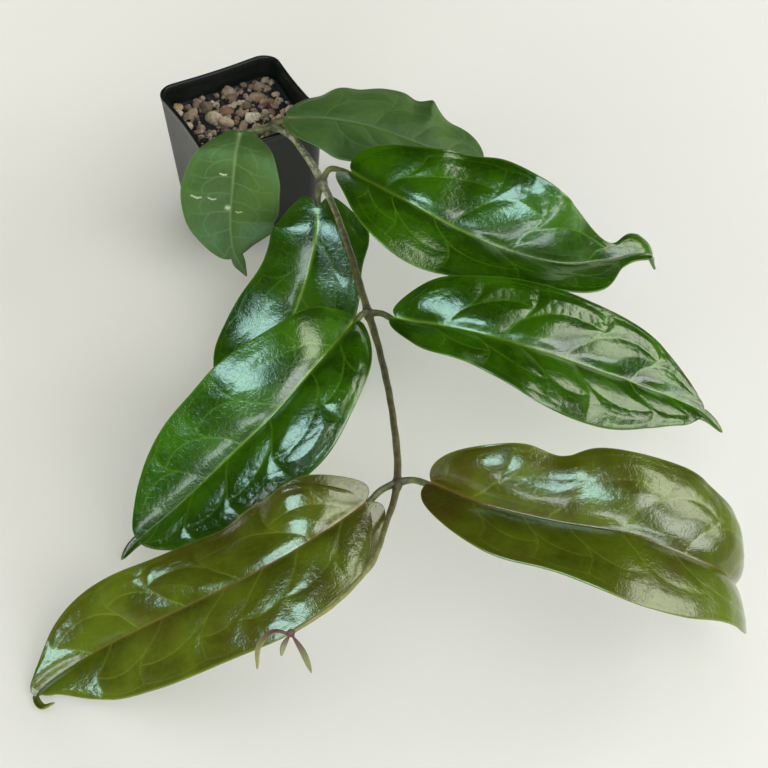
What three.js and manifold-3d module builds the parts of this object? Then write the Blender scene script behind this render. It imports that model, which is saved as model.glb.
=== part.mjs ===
// A young hoya vine in a small square nursery pot.
// Millimetres, +Z up. The origin is the middle of the pot's underside, and the vine trails towards -Y.
// The pot stands on its base; the vine leaves it over the front rim, with its leaves in opposite pairs.
import * as THREE from "three";
import { mergeVertices } from "three/addons/utils/BufferGeometryUtils.js";
import Module from "manifold-3d";

const wasm = await Module();
wasm.setup();

// ---------------------------------------------------------------- driving sizes

const CLEARANCE = 0.3; // between pieces that touch

const POT = {
  topSide: 60,
  baseSide: 51,
  height: 59,
  topCorner: 8.5,
  baseCorner: 7.2,
  bow: 0.8, // how far the middle of each wall leans in
  wall: 1.2,
  lip: 1.7, // thickness of the rim band
  lipHeight: 2.5,
  edge: 0.4, // rounding of the rim
  foot: 0.6, // rounding of the bottom edge
  floor: 1.6,
  turn: THREE.MathUtils.degToRad(26),
  drainRadius: 3,
  drainOffset: 13, // of each hole from the middle, along both sides
};

const MIX = {
  level: 48.5, // top of the bark bed
  stones: 66,
  stoneSmall: 1.6, // radii
  stoneLarge: 4.0,
  stoneUneven: 0.2, // share by which a stone's length and width differ from its size
  stoneFlat: 0.8, // height of a stone as a share of its size
  stoneTilt: 0.4, // radians, either way
  stoneProud: 0.15, // height of a stone's middle over the bed, as a share of its size
  chips: 12,
  chipSize: [6.5, 4, 2.4],
  chipShortest: 0.6, // as a share of the length
  chipTilt: 0.25, // radians, either way
  chipProud: 0.25, // height of a chip's middle over the bed
  tries: 9, // spots drawn for each stone, of which the loneliest is kept
  seed: 11,
};

const BLADE = {
  thickness: 0.8,
  ribDepth: 1.1, // of the midrib under the blade, at its base
  channel: 0.25, // of the groove over the midrib
  camber: THREE.MathUtils.degToRad(20), // a half blade turns down by this much from midrib to margin
  veins: 6.5, // side veins along a half blade
  veinSweep: 0.17, // how far a vein runs forward before the margin, as a share of the length
  quilt: 0.9, // rise of the blade between two veins
  columns: [-1, -0.8, -0.55, -0.3, -0.07, 0, 0.07, 0.3, 0.55, 0.8, 1],
  lobePlace: 0.035, // where the margin is swept back furthest, as a share of the length
  evenRows: 0.35, // 0 crowds the rows towards both ends, 1 spaces them evenly
  frameSteps: 60, // along the midrib, for its sideways direction
  flatWidth: 3, // a strip along the midrib keeps its thickness square to the midrib
};

// Nodes of the vine, where the leaf stalks leave it.
const NODE = {
  pot: [15, -23, 62.5],
  first: [37, -64.5, 63],
  second: [55.3, -141.5, 54],
  third: [64.5, -239, 52],
};

// The vine from its end in the mix to the growing tip, with its radius at each point.
const VINE = [
  { at: [5, -16, 24], radius: 1.7 },
  { at: [6, -17, 46], radius: 1.7 },
  { at: [9, -20.5, 58], radius: 1.6 },
  { at: NODE.pot, radius: 1.6 },
  { at: [22.9, -31, 63.5], radius: 1.5 },
  { at: [31.8, -50, 63.5], radius: 1.5 },
  { at: NODE.first, radius: 2.1 },
  { at: [41.5, -78, 61], radius: 1.4 },
  { at: [48.5, -107, 58], radius: 1.4 },
  { at: NODE.second, radius: 1.9 },
  { at: [59.5, -164, 53], radius: 1.35 },
  { at: [64, -205, 53], radius: 1.35 },
  { at: NODE.third, radius: 1.8 },
  { at: [59.5, -266, 57], radius: 1.1 },
  { at: [54, -292, 65], radius: 1 },
  { at: [40, -322, 76], radius: 0.9 },
  { at: [26, -342, 85], radius: 0.8 },
];

const KNUCKLE = 2.3; // radius of the swelling at a node
const STALK_RADIUS = 1.55;
const STALK_DROP = BLADE.thickness / 2 + CLEARANCE + STALK_RADIUS; // its end, under the foot of its blade

// Each blade: points along its midrib from foot to tip; half width; lift of the left and of the right
// half above level, in degrees, at equal steps from foot to tip; waves of the margin as
// [side, place, reach, rise], with side -1 left and 1 right, and place and reach as shares of the length;
// its bays and bulges as [side, place, reach, widening].
// The stalk leaves the vine at a node and passes through its knees on its way to the foot of the blade.
const LEAVES = {
  leaf_a: {
    rib: [[1, -34, 68], [-1, -44, 64], [-3, -50, 52], [-5, -59, 38], [-4, -69, 30], [1.5, -76, 20]],
    half: 21, liftLeft: [12, 32, 12, 7], liftRight: [4, 10, 11, 15], skew: 0.95, full: 0.65, body: 0.853,
    lobe: 2.5, tail: 8,
    waves: [],
    bays: [[-1, 0.3, 0.1, 1.9], [-1, 0.75, 0.08, 4.5], [-1, 0.9, 0.05, 1], [1, 0.3, 0.1, -0.7],
      [1, 0.75, 0.08, -1], [1, 0.9, 0.05, 0.9]],
    rows: 18, colour: 0x5a7a46, node: "pot", knees: [[9, -27, 64]],
  },
  leaf_b: {
    rib: [[22.5, -24, 68], [39, -27, 69.5], [60, -30, 66], [82, -34, 58], [101, -35, 50], [115, -41, 44]],
    half: 25, liftLeft: [12, 12, 22, 22], liftRight: [10, 8, 10, 12], skew: 0.95, full: 0.58, body: 0.92,
    lobe: 3, tail: 8,
    waves: [[-1, 0.12, 0.05, -2], [-1, 0.3, 0.06, -2], [-1, 0.55, 0.05, -2.5], [-1, 0.75, 0.05, -2.5],
      [-1, 0.64, 0.04, 2], [1, 0.25, 0.06, -2], [1, 0.5, 0.06, 2]],
    bays: [],
    rows: 22, colour: 0x4f733c, node: "pot", knees: [[18, -22.5, 64.5]],
  },
  leaf_c: {
    rib: [[50.4, -71.5, 73], [75, -96, 75], [97, -106.5, 67], [118, -111.5, 59], [140, -113, 53],
      [161, -107, 49.5], [175, -102.5, 47.5], [179.5, -106, 41]],
    half: 34.5, liftLeft: [40, 20, 50, 0], liftRight: [34, 14, 37, 47], skew: 0.72, full: 0.76,
    body: 0.975, lobe: 6, tail: 2.5,
    waves: [[-1, 0.3, 0.07, -2], [-1, 0.6, 0.2, 4]],
    bays: [[-1, 0.15, 0.1, -4], [-1, 0.4, 0.1, 3], [-1, 0.84, 0.06, -8], [-1, 0.94, 0.04, 4.8],
      [1, 0.13, 0.12, -6.5], [1, 0.45, 0.14, -7], [1, 0.74, 0.06, 4.5], [1, 0.86, 0.06, -4],
      [1, 0.95, 0.04, 5.7]],
    rows: 27, colour: 0x2f6a1c, node: "first", knees: [[40.5, -64, 69.5], [45.5, -68, 72]],
  },
  leaf_d: {
    rib: [[34.6, -74, 56], [34, -83, 51], [29, -95, 36], [23, -104, 23], [11, -121, 9.5], [-3, -142, 5],
      [-16, -164, 3]],
    half: 24, liftLeft: [-14, 7, 10, 10], liftRight: [12, 10, 7, 8], skew: 1.04, full: 0.46, body: 0.94,
    lobe: 8.5, tail: 9,
    waves: [],
    bays: [[-1, 0.12, 0.07, 6.5], [-1, 0.3, 0.1, 1.5], [1, 0.12, 0.07, 3.5], [1, 0.3, 0.1, -2.2],
      [1, 0.75, 0.08, -5]],
    rows: 24, colour: 0x2b5f20, node: "first", knees: [[35, -68, 57.4]],
  },
  leaf_e: {
    rib: [[49, -154, 60], [35, -180, 63], [16, -200, 54], [-3, -210, 40], [-24, -220, 24],
      [-42, -228, 12], [-48, -232, 6]],
    half: 26.7, liftLeft: [12, 5, 9, 13], liftRight: [44, 28, 26, 29], skew: 1.05, full: 0.64,
    body: 0.926, lobe: 4, tail: 15,
    waves: [],
    bays: [[-1, 0.3, 0.1, -1.6], [-1, 0.55, 0.1, -3.9], [-1, 0.75, 0.08, -1], [1, 0.1, 0.08, 3.5],
      [1, 0.55, 0.1, -1.6], [1, 0.9, 0.05, -1.3]],
    rows: 26, colour: 0x275a1b, node: "second", knees: [[52.5, -147, 58]],
  },
  leaf_f: {
    rib: [[67, -150, 58], [93, -162, 62], [120, -170, 58], [146, -173, 48], [171, -175, 36],
      [192, -179, 26], [200, -186, 20]],
    half: 27.5, liftLeft: [38, 19, 27, 17], liftRight: [10, 17, 1, 6], skew: 0.88, full: 0.76,
    body: 0.923, lobe: 4.5, tail: 15,
    waves: [[1, 0.18, 0.07, 2], [1, 0.3, 0.06, -2]],
    bays: [[-1, 0.1, 0.08, 3.5], [-1, 0.3, 0.1, 1.3], [-1, 0.55, 0.1, -1.3], [-1, 0.75, 0.08, 1.5],
      [-1, 0.9, 0.05, -1.7], [1, 0.1, 0.08, -3.2], [1, 0.3, 0.1, -8.8], [1, 0.55, 0.1, -1],
      [1, 0.9, 0.05, 2.6]],
    rows: 26, colour: 0x30701c, node: "second", knees: [[61, -144.5, 56]],
  },
  leaf_g: {
    rib: [[52, -253, 56], [30, -273, 57], [3, -282, 46], [-26, -285, 31], [-56, -286, 12],
      [-74, -293, 3.6], [-78, -297, 1.4], [-75, -303, 1.4], [-70, -303, 4]],
    half: 24.3, liftLeft: [-18, 7, 0, 8], liftRight: [38, -4, 28, 38], skew: 0.87, full: 0.6,
    body: 0.928, lobe: 8, tail: 14,
    waves: [[1, 0.3, 0.05, 2.7], [1, 0.16, 0.08, 1.4]],
    bays: [[-1, 0.12, 0.07, 3.4], [-1, 0.3, 0.1, 4.3], [-1, 0.75, 0.08, 1.3], [-1, 0.89, 0.05, -2.8],
      [1, 0.12, 0.07, 4.6], [1, 0.3, 0.1, 4], [1, 0.55, 0.1, -3.2], [1, 0.75, 0.08, 2],
      [1, 0.89, 0.05, -3]],
    rows: 30, colour: 0x4b5f28, node: "third", knees: [[58, -245, 54]],
  },
  leaf_h: {
    rib: [[77.6, -245, 57], [96, -261, 62], [124, -272, 62], [151, -280, 62], [174, -286, 54],
      [188, -286, 44], [192, -281, 31], [189, -272, 18], [184, -264, 12]],
    half: 29.3, liftLeft: [64, 36, 17, 12], liftRight: [13, 17, 14, 19], skew: 0.92, full: 0.51,
    body: 0.95, lobe: 3, tail: 6.7,
    waves: [],
    bays: [[-1, 0.31, 0.06, -4.7], [-1, 0.62, 0.1, 4.8], [-1, 0.75, 0.06, 2], [1, 0.12, 0.1, -4.5],
      [1, 0.35, 0.1, -4.4], [1, 0.55, 0.1, 1.8], [1, 0.72, 0.06, -2]],
    rows: 30, colour: 0x54652d, node: "third", knees: [[70.5, -240, 54]],
  },
};

// The bud at the end of the vine and its three small leaves: points of the rib from the bud, half width.
const TIP = {
  budRadius: 1.5,
  leaves: [
    { rib: [[-0.5, -0.5, 0.2], [-6, -0.5, 1.5], [-11, -4.5, -1], [-12, -11, -6]], half: 1 },
    { rib: [[0.2, -0.7, 0], [4, -7, -2], [7, -15, -4]], half: 0.7 },
    { rib: [[-0.4, -0.5, -0.3], [-2.6, -4, -2], [-3.6, -7, -4]], half: 0.6 },
  ],
};

// ---------------------------------------------------------------- small helpers

const { clamp, degToRad, lerp, radToDeg } = THREE.MathUtils;

// A repeatable stream of numbers between 0 and 1.
function stream(seed) {
  let state = seed >>> 0;
  return () => {
    state = (state + 0x6d2b79f5) >>> 0;
    let mixed = Math.imul(state ^ (state >>> 15), 1 | state);
    mixed = (mixed + Math.imul(mixed ^ (mixed >>> 7), 61 | mixed)) ^ mixed;
    return ((mixed ^ (mixed >>> 14)) >>> 0) / 4294967296;
  };
}

// A number drawn evenly from middle - reach to middle + reach.
function around(middle, reach, random) {
  return middle + reach * (2 * random() - 1);
}

function vector(point) {
  return new THREE.Vector3(...point);
}

function geometryOf(points, triangles) {
  const geometry = new THREE.BufferGeometry();
  geometry.setAttribute("position", new THREE.Float32BufferAttribute(points.flat(), 3));
  geometry.setIndex(triangles.flat());
  return geometry;
}

function toSolid(geometry) {
  const bare = geometry.clone();
  bare.deleteAttribute("normal");
  bare.deleteAttribute("uv");
  const merged = mergeVertices(bare, 1e-4);
  return new wasm.Manifold(new wasm.Mesh({
    numProp: 3,
    vertProperties: new Float32Array(merged.attributes.position.array),
    triVerts: new Uint32Array(merged.index.array),
  }));
}

function toGeometry(solid) {
  const mesh = solid.getMesh();
  const geometry = new THREE.BufferGeometry();
  geometry.setAttribute("position", new THREE.BufferAttribute(mesh.vertProperties.slice(), 3));
  geometry.setIndex(new THREE.BufferAttribute(mesh.triVerts.slice(), 1));
  return geometry;
}

// Geometries as one solid. Its outer skin alone is kept, so a pocket that joining seals is filled.
function joined(geometries) {
  const whole = geometries.map(toSolid).reduce((sum, solid) => sum.add(solid));
  return whole.decompose().reduce((best, solid) => (solid.volume() > best.volume() ? solid : best));
}

// The value at share x of a list of stations at equal steps, eased from one to the next.
function eased(stations, x) {
  const place = clamp(x, 0, 1) * (stations.length - 1);
  const index = Math.min(Math.floor(place), stations.length - 2);
  const part = place - index;
  return lerp(stations[index], stations[index + 1], part * part * (3 - 2 * part));
}

// ---------------------------------------------------------------- rings and tubes

// A rounded square at a height, as a ring of points; its walls lean in by bow half way along.
function squareRing(side, corner, bow, z) {
  const cornerSteps = 6;
  const wallSteps = 4;
  const reach = side / 2 - corner;
  const ring = [];
  for (let quarter = 0; quarter < 4; quarter++) {
    const start = quarter * Math.PI / 2;
    const middle = start + Math.PI / 4;
    const centreX = reach * Math.SQRT2 * Math.cos(middle);
    const centreY = reach * Math.SQRT2 * Math.sin(middle);
    for (let step = 0; step <= cornerSteps; step++) {
      const angle = start + (Math.PI / 2) * step / cornerSteps;
      ring.push([centreX + corner * Math.cos(angle), centreY + corner * Math.sin(angle), z]);
    }
    const next = start + Math.PI / 2;
    for (let step = 1; step < wallSteps; step++) {
      const along = reach * (1 - 2 * step / wallSteps);
      const out = side / 2 - bow * Math.sin(Math.PI * step / wallSteps);
      ring.push([out * Math.cos(next) + along * Math.sin(next),
        out * Math.sin(next) - along * Math.cos(next), z]);
    }
  }
  return ring;
}

// A closed solid from rings of equal count, each end closed by a fan round its middle.
function ringSolid(rings) {
  const count = rings[0].length;
  const points = rings.flat();
  const triangles = [];
  for (let level = 0; level + 1 < rings.length; level++) {
    for (let step = 0; step < count; step++) {
      const here = level * count + step;
      const beside = level * count + (step + 1) % count;
      triangles.push([here, beside, beside + count]);
      triangles.push([here, beside + count, here + count]);
    }
  }
  const lastRing = (rings.length - 1) * count;
  const firstMiddle = points.length;
  points.push(middleOf(rings[0]));
  points.push(middleOf(rings[rings.length - 1]));
  for (let step = 0; step < count; step++) {
    const next = (step + 1) % count;
    triangles.push([firstMiddle, next, step]);
    triangles.push([firstMiddle + 1, lastRing + step, lastRing + next]);
  }
  return geometryOf(points, triangles);
}

function middleOf(ring) {
  const sum = ring.reduce((total, point) => total.map((value, axis) => value + point[axis]), [0, 0, 0]);
  return sum.map((value) => value / ring.length);
}

// A round tube on a smooth curve through points, with its radius given at each of them.
function taperedTube(points, radii, sides, stepLength) {
  const curve = new THREE.CatmullRomCurve3(points.map(vector), false, "centripetal");
  const steps = Math.max(3, Math.round(curve.getLength() / stepLength));
  const frames = curve.computeFrenetFrames(steps, false);
  const rings = [];
  for (let step = 0; step <= steps; step++) {
    const share = curve.getUtoTmapping(step / steps) * (points.length - 1);
    const index = Math.min(Math.floor(share), points.length - 2);
    const radius = lerp(radii[index], radii[index + 1], share - index);
    const centre = curve.getPointAt(step / steps);
    rings.push(roundRing(centre, frames.normals[step], frames.binormals[step], radius, sides));
  }
  return ringSolid(rings);
}

function roundRing(centre, first, second, radius, sides) {
  const ring = [];
  for (let side = 0; side < sides; side++) {
    const angle = 2 * Math.PI * side / sides;
    const point = centre.clone();
    point.addScaledVector(first, radius * Math.cos(angle));
    point.addScaledVector(second, radius * Math.sin(angle));
    ring.push(point.toArray());
  }
  return ring;
}

// ---------------------------------------------------------------- blades

// A blade's midrib as a curve, with the sideways direction that its halves spread along. That starts
// level and square to the blade's run, and is carried along the midrib without twisting about it.
function ribFrame(rib) {
  const curve = new THREE.CatmullRomCurve3(rib.map(vector), false, "centripetal");
  const run = vector(rib[rib.length - 1]).sub(vector(rib[0]));
  let spread = run.cross(new THREE.Vector3(0, 0, 1));
  const spreads = [];
  for (let step = 0; step <= BLADE.frameSteps; step++) {
    const tangent = curve.getTangentAt(step / BLADE.frameSteps);
    spread = spread.clone().addScaledVector(tangent, -spread.dot(tangent)).normalize();
    spreads.push(spread);
  }
  return { curve, spreads, length: curve.getLength() };
}

// The tangent, sideways and upward directions at a share along the midrib.
function ribDirections(frame, share) {
  const tangent = frame.curve.getTangentAt(share);
  const place = share * BLADE.frameSteps;
  const index = Math.min(Math.floor(place), BLADE.frameSteps - 1);
  const spread = frame.spreads[index].clone().lerp(frame.spreads[index + 1], place - index);
  spread.addScaledVector(tangent, -spread.dot(tangent)).normalize();
  return { tangent, spread, up: spread.clone().cross(tangent) };
}

function bell(x, middle, reach) {
  return Math.exp(-(((x - middle) / reach) ** 2));
}

// The margin at a share along the midrib: its own place along it and its distance from it.
// The half width is a skewed sine arch raised to the power full, with a slender tail to the tip and the
// bays and bulges of each side, and the foot is swept back into a lobe.
function marginAt(leaf, length, along, side) {
  const arch = along < leaf.body ? Math.sin(Math.PI * (along / leaf.body) ** leaf.skew) : 0;
  const tail = leaf.tail * (1 - along) ** 0.6 * along;
  const sweep = Math.sqrt(along / BLADE.lobePlace);
  const bays = leaf.bays.filter((bay) => bay[0] === side)
    .reduce((sum, [, place, reach, widening]) => sum + widening * bell(along, place, reach), 0);
  return {
    place: length * along - leaf.lobe * sweep * Math.exp(1 - sweep),
    width: Math.max(leaf.half * Math.max(arch, 0) ** leaf.full + tail + bays, 0),
  };
}

// A point of the blade's middle surface and the way its thickness goes there: along runs from foot to
// tip, column from -1 (left margin) to 1.
function bladePoint(leaf, frame, along, column) {
  const side = column < 0 ? -1 : 1;
  const out = Math.abs(column);
  const margin = marginAt(leaf, frame.length, along, side);
  const place = lerp(along * frame.length, margin.place, out);
  const share = clamp(place / frame.length, 0, 1);
  const across = margin.width * out;

  const { tangent, spread, up } = ribDirections(frame, share);
  const point = frame.curve.getPointAt(share).addScaledVector(tangent, place - share * frame.length);
  const lift = degToRad(eased(side < 0 ? leaf.liftLeft : leaf.liftRight, share));
  const angle = lift - BLADE.camber * out / 2;
  const height = across * Math.sin(angle) + marginWave(leaf, side, out, share) + quilting(leaf, out, share);
  point.addScaledVector(spread, side * across * Math.cos(angle)).addScaledVector(up, height);

  const slope = (lift - BLADE.camber * out) * Math.min(1, across / BLADE.flatWidth);
  const normal = up.multiplyScalar(Math.cos(slope)).addScaledVector(spread, -side * Math.sin(slope));
  return { point, normal };
}

function marginWave(leaf, side, out, share) {
  return leaf.waves.filter((wave) => wave[0] === side)
    .reduce((sum, [, place, reach, rise]) => sum + rise * out * out * bell(share, place, reach), 0);
}

// The blade bulges between its side veins, which lean forward towards the margin.
function quilting(leaf, out, share) {
  const vein = BLADE.veins * (share - BLADE.veinSweep * out ** 1.3);
  const cushion = Math.sin(Math.PI * vein) ** 2;
  const fade = Math.sin(Math.PI * Math.min(out, 1) ** 0.8) * Math.sin(Math.PI * share) ** 0.5;
  return BLADE.quilt * (leaf.half / 30) * cushion * Math.max(fade, 0);
}

// A closed thin blade: the middle surface moved both ways along its normal, split alike on both faces.
function bladeGeometry(leaf, rows, columns) {
  const frame = ribFrame(leaf.rib);
  const grid = [];
  for (let row = 0; row <= rows; row++) {
    const crowded = (1 - Math.cos(Math.PI * row / rows)) / 2;
    const along = lerp(crowded, row / rows, BLADE.evenRows);
    grid.push(columns.map((column) => bladePoint(leaf, frame, along, column)));
  }
  const faces = bladeFaces(grid, columns, rows);
  const width = columns.length;
  const perFace = 2 + (rows - 1) * width;
  const indexOf = (face, row, column) => {
    const inner = row === 0 ? 0 : row === rows ? perFace - 1 : 1 + (row - 1) * width + column;
    return face * perFace + inner;
  };
  const triangles = [];
  for (let row = 0; row < rows; row++) {
    for (let column = 0; column + 1 < width; column++) {
      addCell(triangles, indexOf, row, column, rows);
    }
    addEdge(triangles, indexOf, row, 0, false);
    addEdge(triangles, indexOf, row, width - 1, true);
  }
  return geometryOf(faces, triangles);
}

// The points of the upper and then the lower face, each as foot, rows and tip.
function bladeFaces(grid, columns, rows) {
  const middle = (columns.length - 1) / 2;
  const points = [];
  for (const face of [1, -1]) {
    for (let row = 0; row <= rows; row++) {
      const pointed = row === 0 || row === rows;
      const used = pointed ? [middle] : columns.keys();
      for (const column of used) {
        const { point, normal } = grid[row][column];
        const onRib = Math.abs(column - middle) < 1;
        const ribDepth = face > 0 ? -BLADE.channel : BLADE.ribDepth * (1 - row / rows);
        const offset = face * (BLADE.thickness / 2 + (onRib && !pointed ? ribDepth : 0));
        points.push(point.clone().addScaledVector(normal, offset).toArray());
      }
    }
  }
  return points;
}

function addCell(triangles, indexOf, row, column, rows) {
  for (const face of [0, 1]) {
    const a = indexOf(face, row, column);
    const b = indexOf(face, row, column + 1);
    const c = indexOf(face, row + 1, column + 1);
    const d = indexOf(face, row + 1, column);
    const cell = row === 0 ? [[a, c, d]] : row === rows - 1 ? [[a, b, c]] : [[a, b, c], [a, c, d]];
    triangles.push(...(face === 0 ? cell : cell.map(([p, q, r]) => [p, r, q])));
  }
}

function addEdge(triangles, indexOf, row, column, rightSide) {
  const top = indexOf(0, row, column);
  const bottom = indexOf(1, row, column);
  const nextTop = indexOf(0, row + 1, column);
  const nextBottom = indexOf(1, row + 1, column);
  const strip = [[top, nextTop, bottom], [nextTop, nextBottom, bottom]];
  triangles.push(...(rightSide ? strip.map(([p, q, r]) => [p, r, q]) : strip));
}

// ---------------------------------------------------------------- the pieces

function potGeometry() {
  const taper = (z) => z / POT.height;
  const sideAt = (z) => lerp(POT.baseSide, POT.topSide, taper(z));
  const cornerAt = (z) => lerp(POT.baseCorner, POT.topCorner, taper(z));
  const ringAt = (z, wall) => squareRing(sideAt(z) - 2 * wall, cornerAt(z) - wall, POT.bow, z);
  const lipFoot = POT.height - POT.lipHeight;
  const shell = ringSolid([
    ringAt(0, POT.foot),
    ringAt(POT.foot, 0),
    ringAt(POT.height - POT.edge, 0),
    ringAt(POT.height, POT.edge),
    ringAt(POT.height, POT.lip - POT.edge),
    ringAt(lipFoot, POT.lip),
    ringAt(lipFoot - 2 * (POT.lip - POT.wall), POT.wall),
    ringAt(POT.floor, POT.wall),
  ]);
  let pot = toSolid(shell);
  for (const [signX, signY] of [[1, 1], [-1, 1], [-1, -1], [1, -1]]) {
    const drain = new THREE.CylinderGeometry(POT.drainRadius, POT.drainRadius, 3 * POT.floor, 16);
    drain.rotateX(Math.PI / 2);
    drain.translate(signX * POT.drainOffset, signY * POT.drainOffset, POT.floor / 2);
    pot = pot.subtract(toSolid(drain));
  }
  return toGeometry(pot).rotateZ(POT.turn);
}

// The mix fills the pot: a bed of bark with grit stones and bark chips sunk into its top.
function mixGeometry() {
  const random = stream(MIX.seed);
  const gap = POT.wall + CLEARANCE;
  const ringAt = (z) => {
    const side = lerp(POT.baseSide, POT.topSide, z / POT.height) - 2 * gap;
    const corner = lerp(POT.baseCorner, POT.topCorner, z / POT.height) - gap;
    return squareRing(side, corner, POT.bow, z);
  };
  const bed = ringSolid([ringAt(POT.floor + CLEARANCE), ringAt(MIX.level)]);
  const stones = scatter(MIX.stones, random).map((spot) => stoneGeometry(spot, random));
  const chips = scatter(MIX.chips, random).map((spot) => chipGeometry(spot, random));
  let mix = joined([bed, ...stones, ...chips]);
  mix = mix.rotate([0, 0, radToDeg(POT.turn)]);
  return toGeometry(mix.subtract(toSolid(stemHole())));
}

// Places on the bed, spread by keeping the best of a few random spots each time.
function scatter(count, random) {
  const inside = lerp(POT.baseSide, POT.topSide, MIX.level / POT.height) / 2 - POT.wall;
  const inner = inside - MIX.stoneLarge;
  const spots = [];
  for (let index = 0; index < count; index++) {
    const size = lerp(MIX.stoneSmall, MIX.stoneLarge, random() ** 2);
    let best = null;
    for (let attempt = 0; attempt < MIX.tries; attempt++) {
      const x = inner * (2 * random() - 1);
      const y = inner * (2 * random() - 1);
      const nearest = Math.min(99, ...spots.map((spot) => Math.hypot(spot.x - x, spot.y - y) - spot.size));
      if (best === null || nearest > best.nearest) {
        best = { x, y, size, nearest };
      }
    }
    spots.push(best);
  }
  return spots;
}

function stoneGeometry(spot, random) {
  const stone = new THREE.IcosahedronGeometry(spot.size, 0);
  stone.scale(around(1, MIX.stoneUneven, random), around(1, MIX.stoneUneven, random), MIX.stoneFlat);
  stone.rotateX(around(0, MIX.stoneTilt, random));
  stone.rotateZ(around(0, Math.PI, random));
  stone.translate(spot.x, spot.y, MIX.level + MIX.stoneProud * spot.size);
  return stone;
}

function chipGeometry(spot, random) {
  const [length, width, height] = MIX.chipSize;
  const chip = new THREE.BoxGeometry(length * lerp(MIX.chipShortest, 1, random()), width, height);
  chip.rotateY(around(0, MIX.chipTilt, random));
  chip.rotateZ(around(0, Math.PI, random));
  chip.translate(spot.x, spot.y, MIX.level + MIX.chipProud);
  return chip;
}

// The vine's own path through the mix, wider by the clearance and open at the top.
function stemHole() {
  const buried = VINE.slice(0, 3);
  const below = [buried[0].at[0], buried[0].at[1], buried[0].at[2] - CLEARANCE];
  const route = [below, ...buried.slice(1).map((stop) => stop.at)];
  const radius = buried[0].radius + 2 * CLEARANCE;
  return taperedTube(route, route.map(() => radius), 12, 6);
}

// Vine, node swellings and leaf stalks grew as one piece.
function stemGeometry() {
  const vine = taperedTube(VINE.map((stop) => stop.at), VINE.map((stop) => stop.radius), 8, 7);
  const knuckles = Object.values(NODE).map((at) => {
    const knuckle = new THREE.IcosahedronGeometry(KNUCKLE, 1);
    return knuckle.translate(...at);
  });
  const stalks = Object.values(LEAVES).map(stalkGeometry);
  return toGeometry(joined([vine, ...knuckles, ...stalks]));
}

// A stalk ends just under the foot of its blade, a clearance below the midrib.
function stalkGeometry(leaf) {
  const { up } = ribDirections(ribFrame(leaf.rib), 0);
  const end = vector(leaf.rib[0]).addScaledVector(up, -STALK_DROP);
  const route = [NODE[leaf.node], ...leaf.knees, end.toArray()];
  return taperedTube(route, route.map(() => STALK_RADIUS), 8, 4);
}

function leafGeometry(leaf) {
  return bladeGeometry(leaf, leaf.rows, BLADE.columns);
}

// The bud sits a clearance past the end of the vine, in line with it.
function tipGeometry() {
  const [before, end] = VINE.slice(-2).map((stop) => vector(stop.at));
  const onward = end.clone().sub(before).normalize();
  const centre = end.clone().addScaledVector(onward, TIP.budRadius + CLEARANCE);
  const bud = new THREE.IcosahedronGeometry(TIP.budRadius, 1);
  const leaflets = TIP.leaves.map(({ rib, half }) => {
    const leaf = { rib, half, liftLeft: [30, 20, 10], liftRight: [30, 20, 10], skew: 0.9, full: 0.7,
    body: 1, lobe: 0, tail: 1.5, waves: [], bays: [] };
    return bladeGeometry(leaf, 6, [-1, -0.5, 0, 0.5, 1]);
  });
  return toGeometry(joined([bud, ...leaflets])).translate(...centre);
}

// ---------------------------------------------------------------- the object

function addPiece(group, name, geometry, colour, roughness) {
  const flat = geometry.toNonIndexed();
  flat.computeVertexNormals();
  const material = new THREE.MeshStandardMaterial({ color: colour, roughness, metalness: 0 });
  const mesh = new THREE.Mesh(flat, material);
  mesh.name = name;
  group.add(mesh);
}

const plant = new THREE.Group();
plant.name = "potted_hoya";
addPiece(plant, "pot", potGeometry(), 0x1b1c1e, 0.55);
addPiece(plant, "potting_mix", mixGeometry(), 0xa08a6c, 0.9);
addPiece(plant, "stem", stemGeometry(), 0x5f5a3a, 0.7);
for (const [name, leaf] of Object.entries(LEAVES)) {
  addPiece(plant, name, leafGeometry(leaf), leaf.colour, 0.35);
}
addPiece(plant, "growing_tip", tipGeometry(), 0x8a8f5c, 0.6);

export default plant;
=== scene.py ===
"""A young hoya vine in a small square nursery pot, dressed over its solid model.

Sizes of the object are millimetres in the values below and metres in the meshes; lights and floor are
given in metres. The origin is the middle of the pot's underside, +Z is up, and the vine trails towards
-Y. Colours are red, green and blue in linear light.
"""
import math

import bmesh
import bpy
import numpy as np
from mathutils import Matrix, Vector


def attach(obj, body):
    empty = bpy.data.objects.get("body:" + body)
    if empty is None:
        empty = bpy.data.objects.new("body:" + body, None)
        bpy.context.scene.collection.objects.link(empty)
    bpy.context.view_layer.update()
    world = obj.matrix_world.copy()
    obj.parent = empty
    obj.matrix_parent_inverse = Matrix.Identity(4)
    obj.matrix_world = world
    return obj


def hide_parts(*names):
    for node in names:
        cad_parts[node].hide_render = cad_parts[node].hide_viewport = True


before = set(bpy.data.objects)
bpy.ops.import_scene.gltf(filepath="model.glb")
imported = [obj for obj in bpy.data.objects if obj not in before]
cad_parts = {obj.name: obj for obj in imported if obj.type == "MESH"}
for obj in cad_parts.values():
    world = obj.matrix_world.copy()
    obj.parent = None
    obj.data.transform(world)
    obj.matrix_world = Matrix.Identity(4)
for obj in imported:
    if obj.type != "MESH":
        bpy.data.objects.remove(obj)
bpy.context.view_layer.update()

MM = 0.001

# ------------------------------------------------------------------ sizes of the pot and its filling

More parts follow.
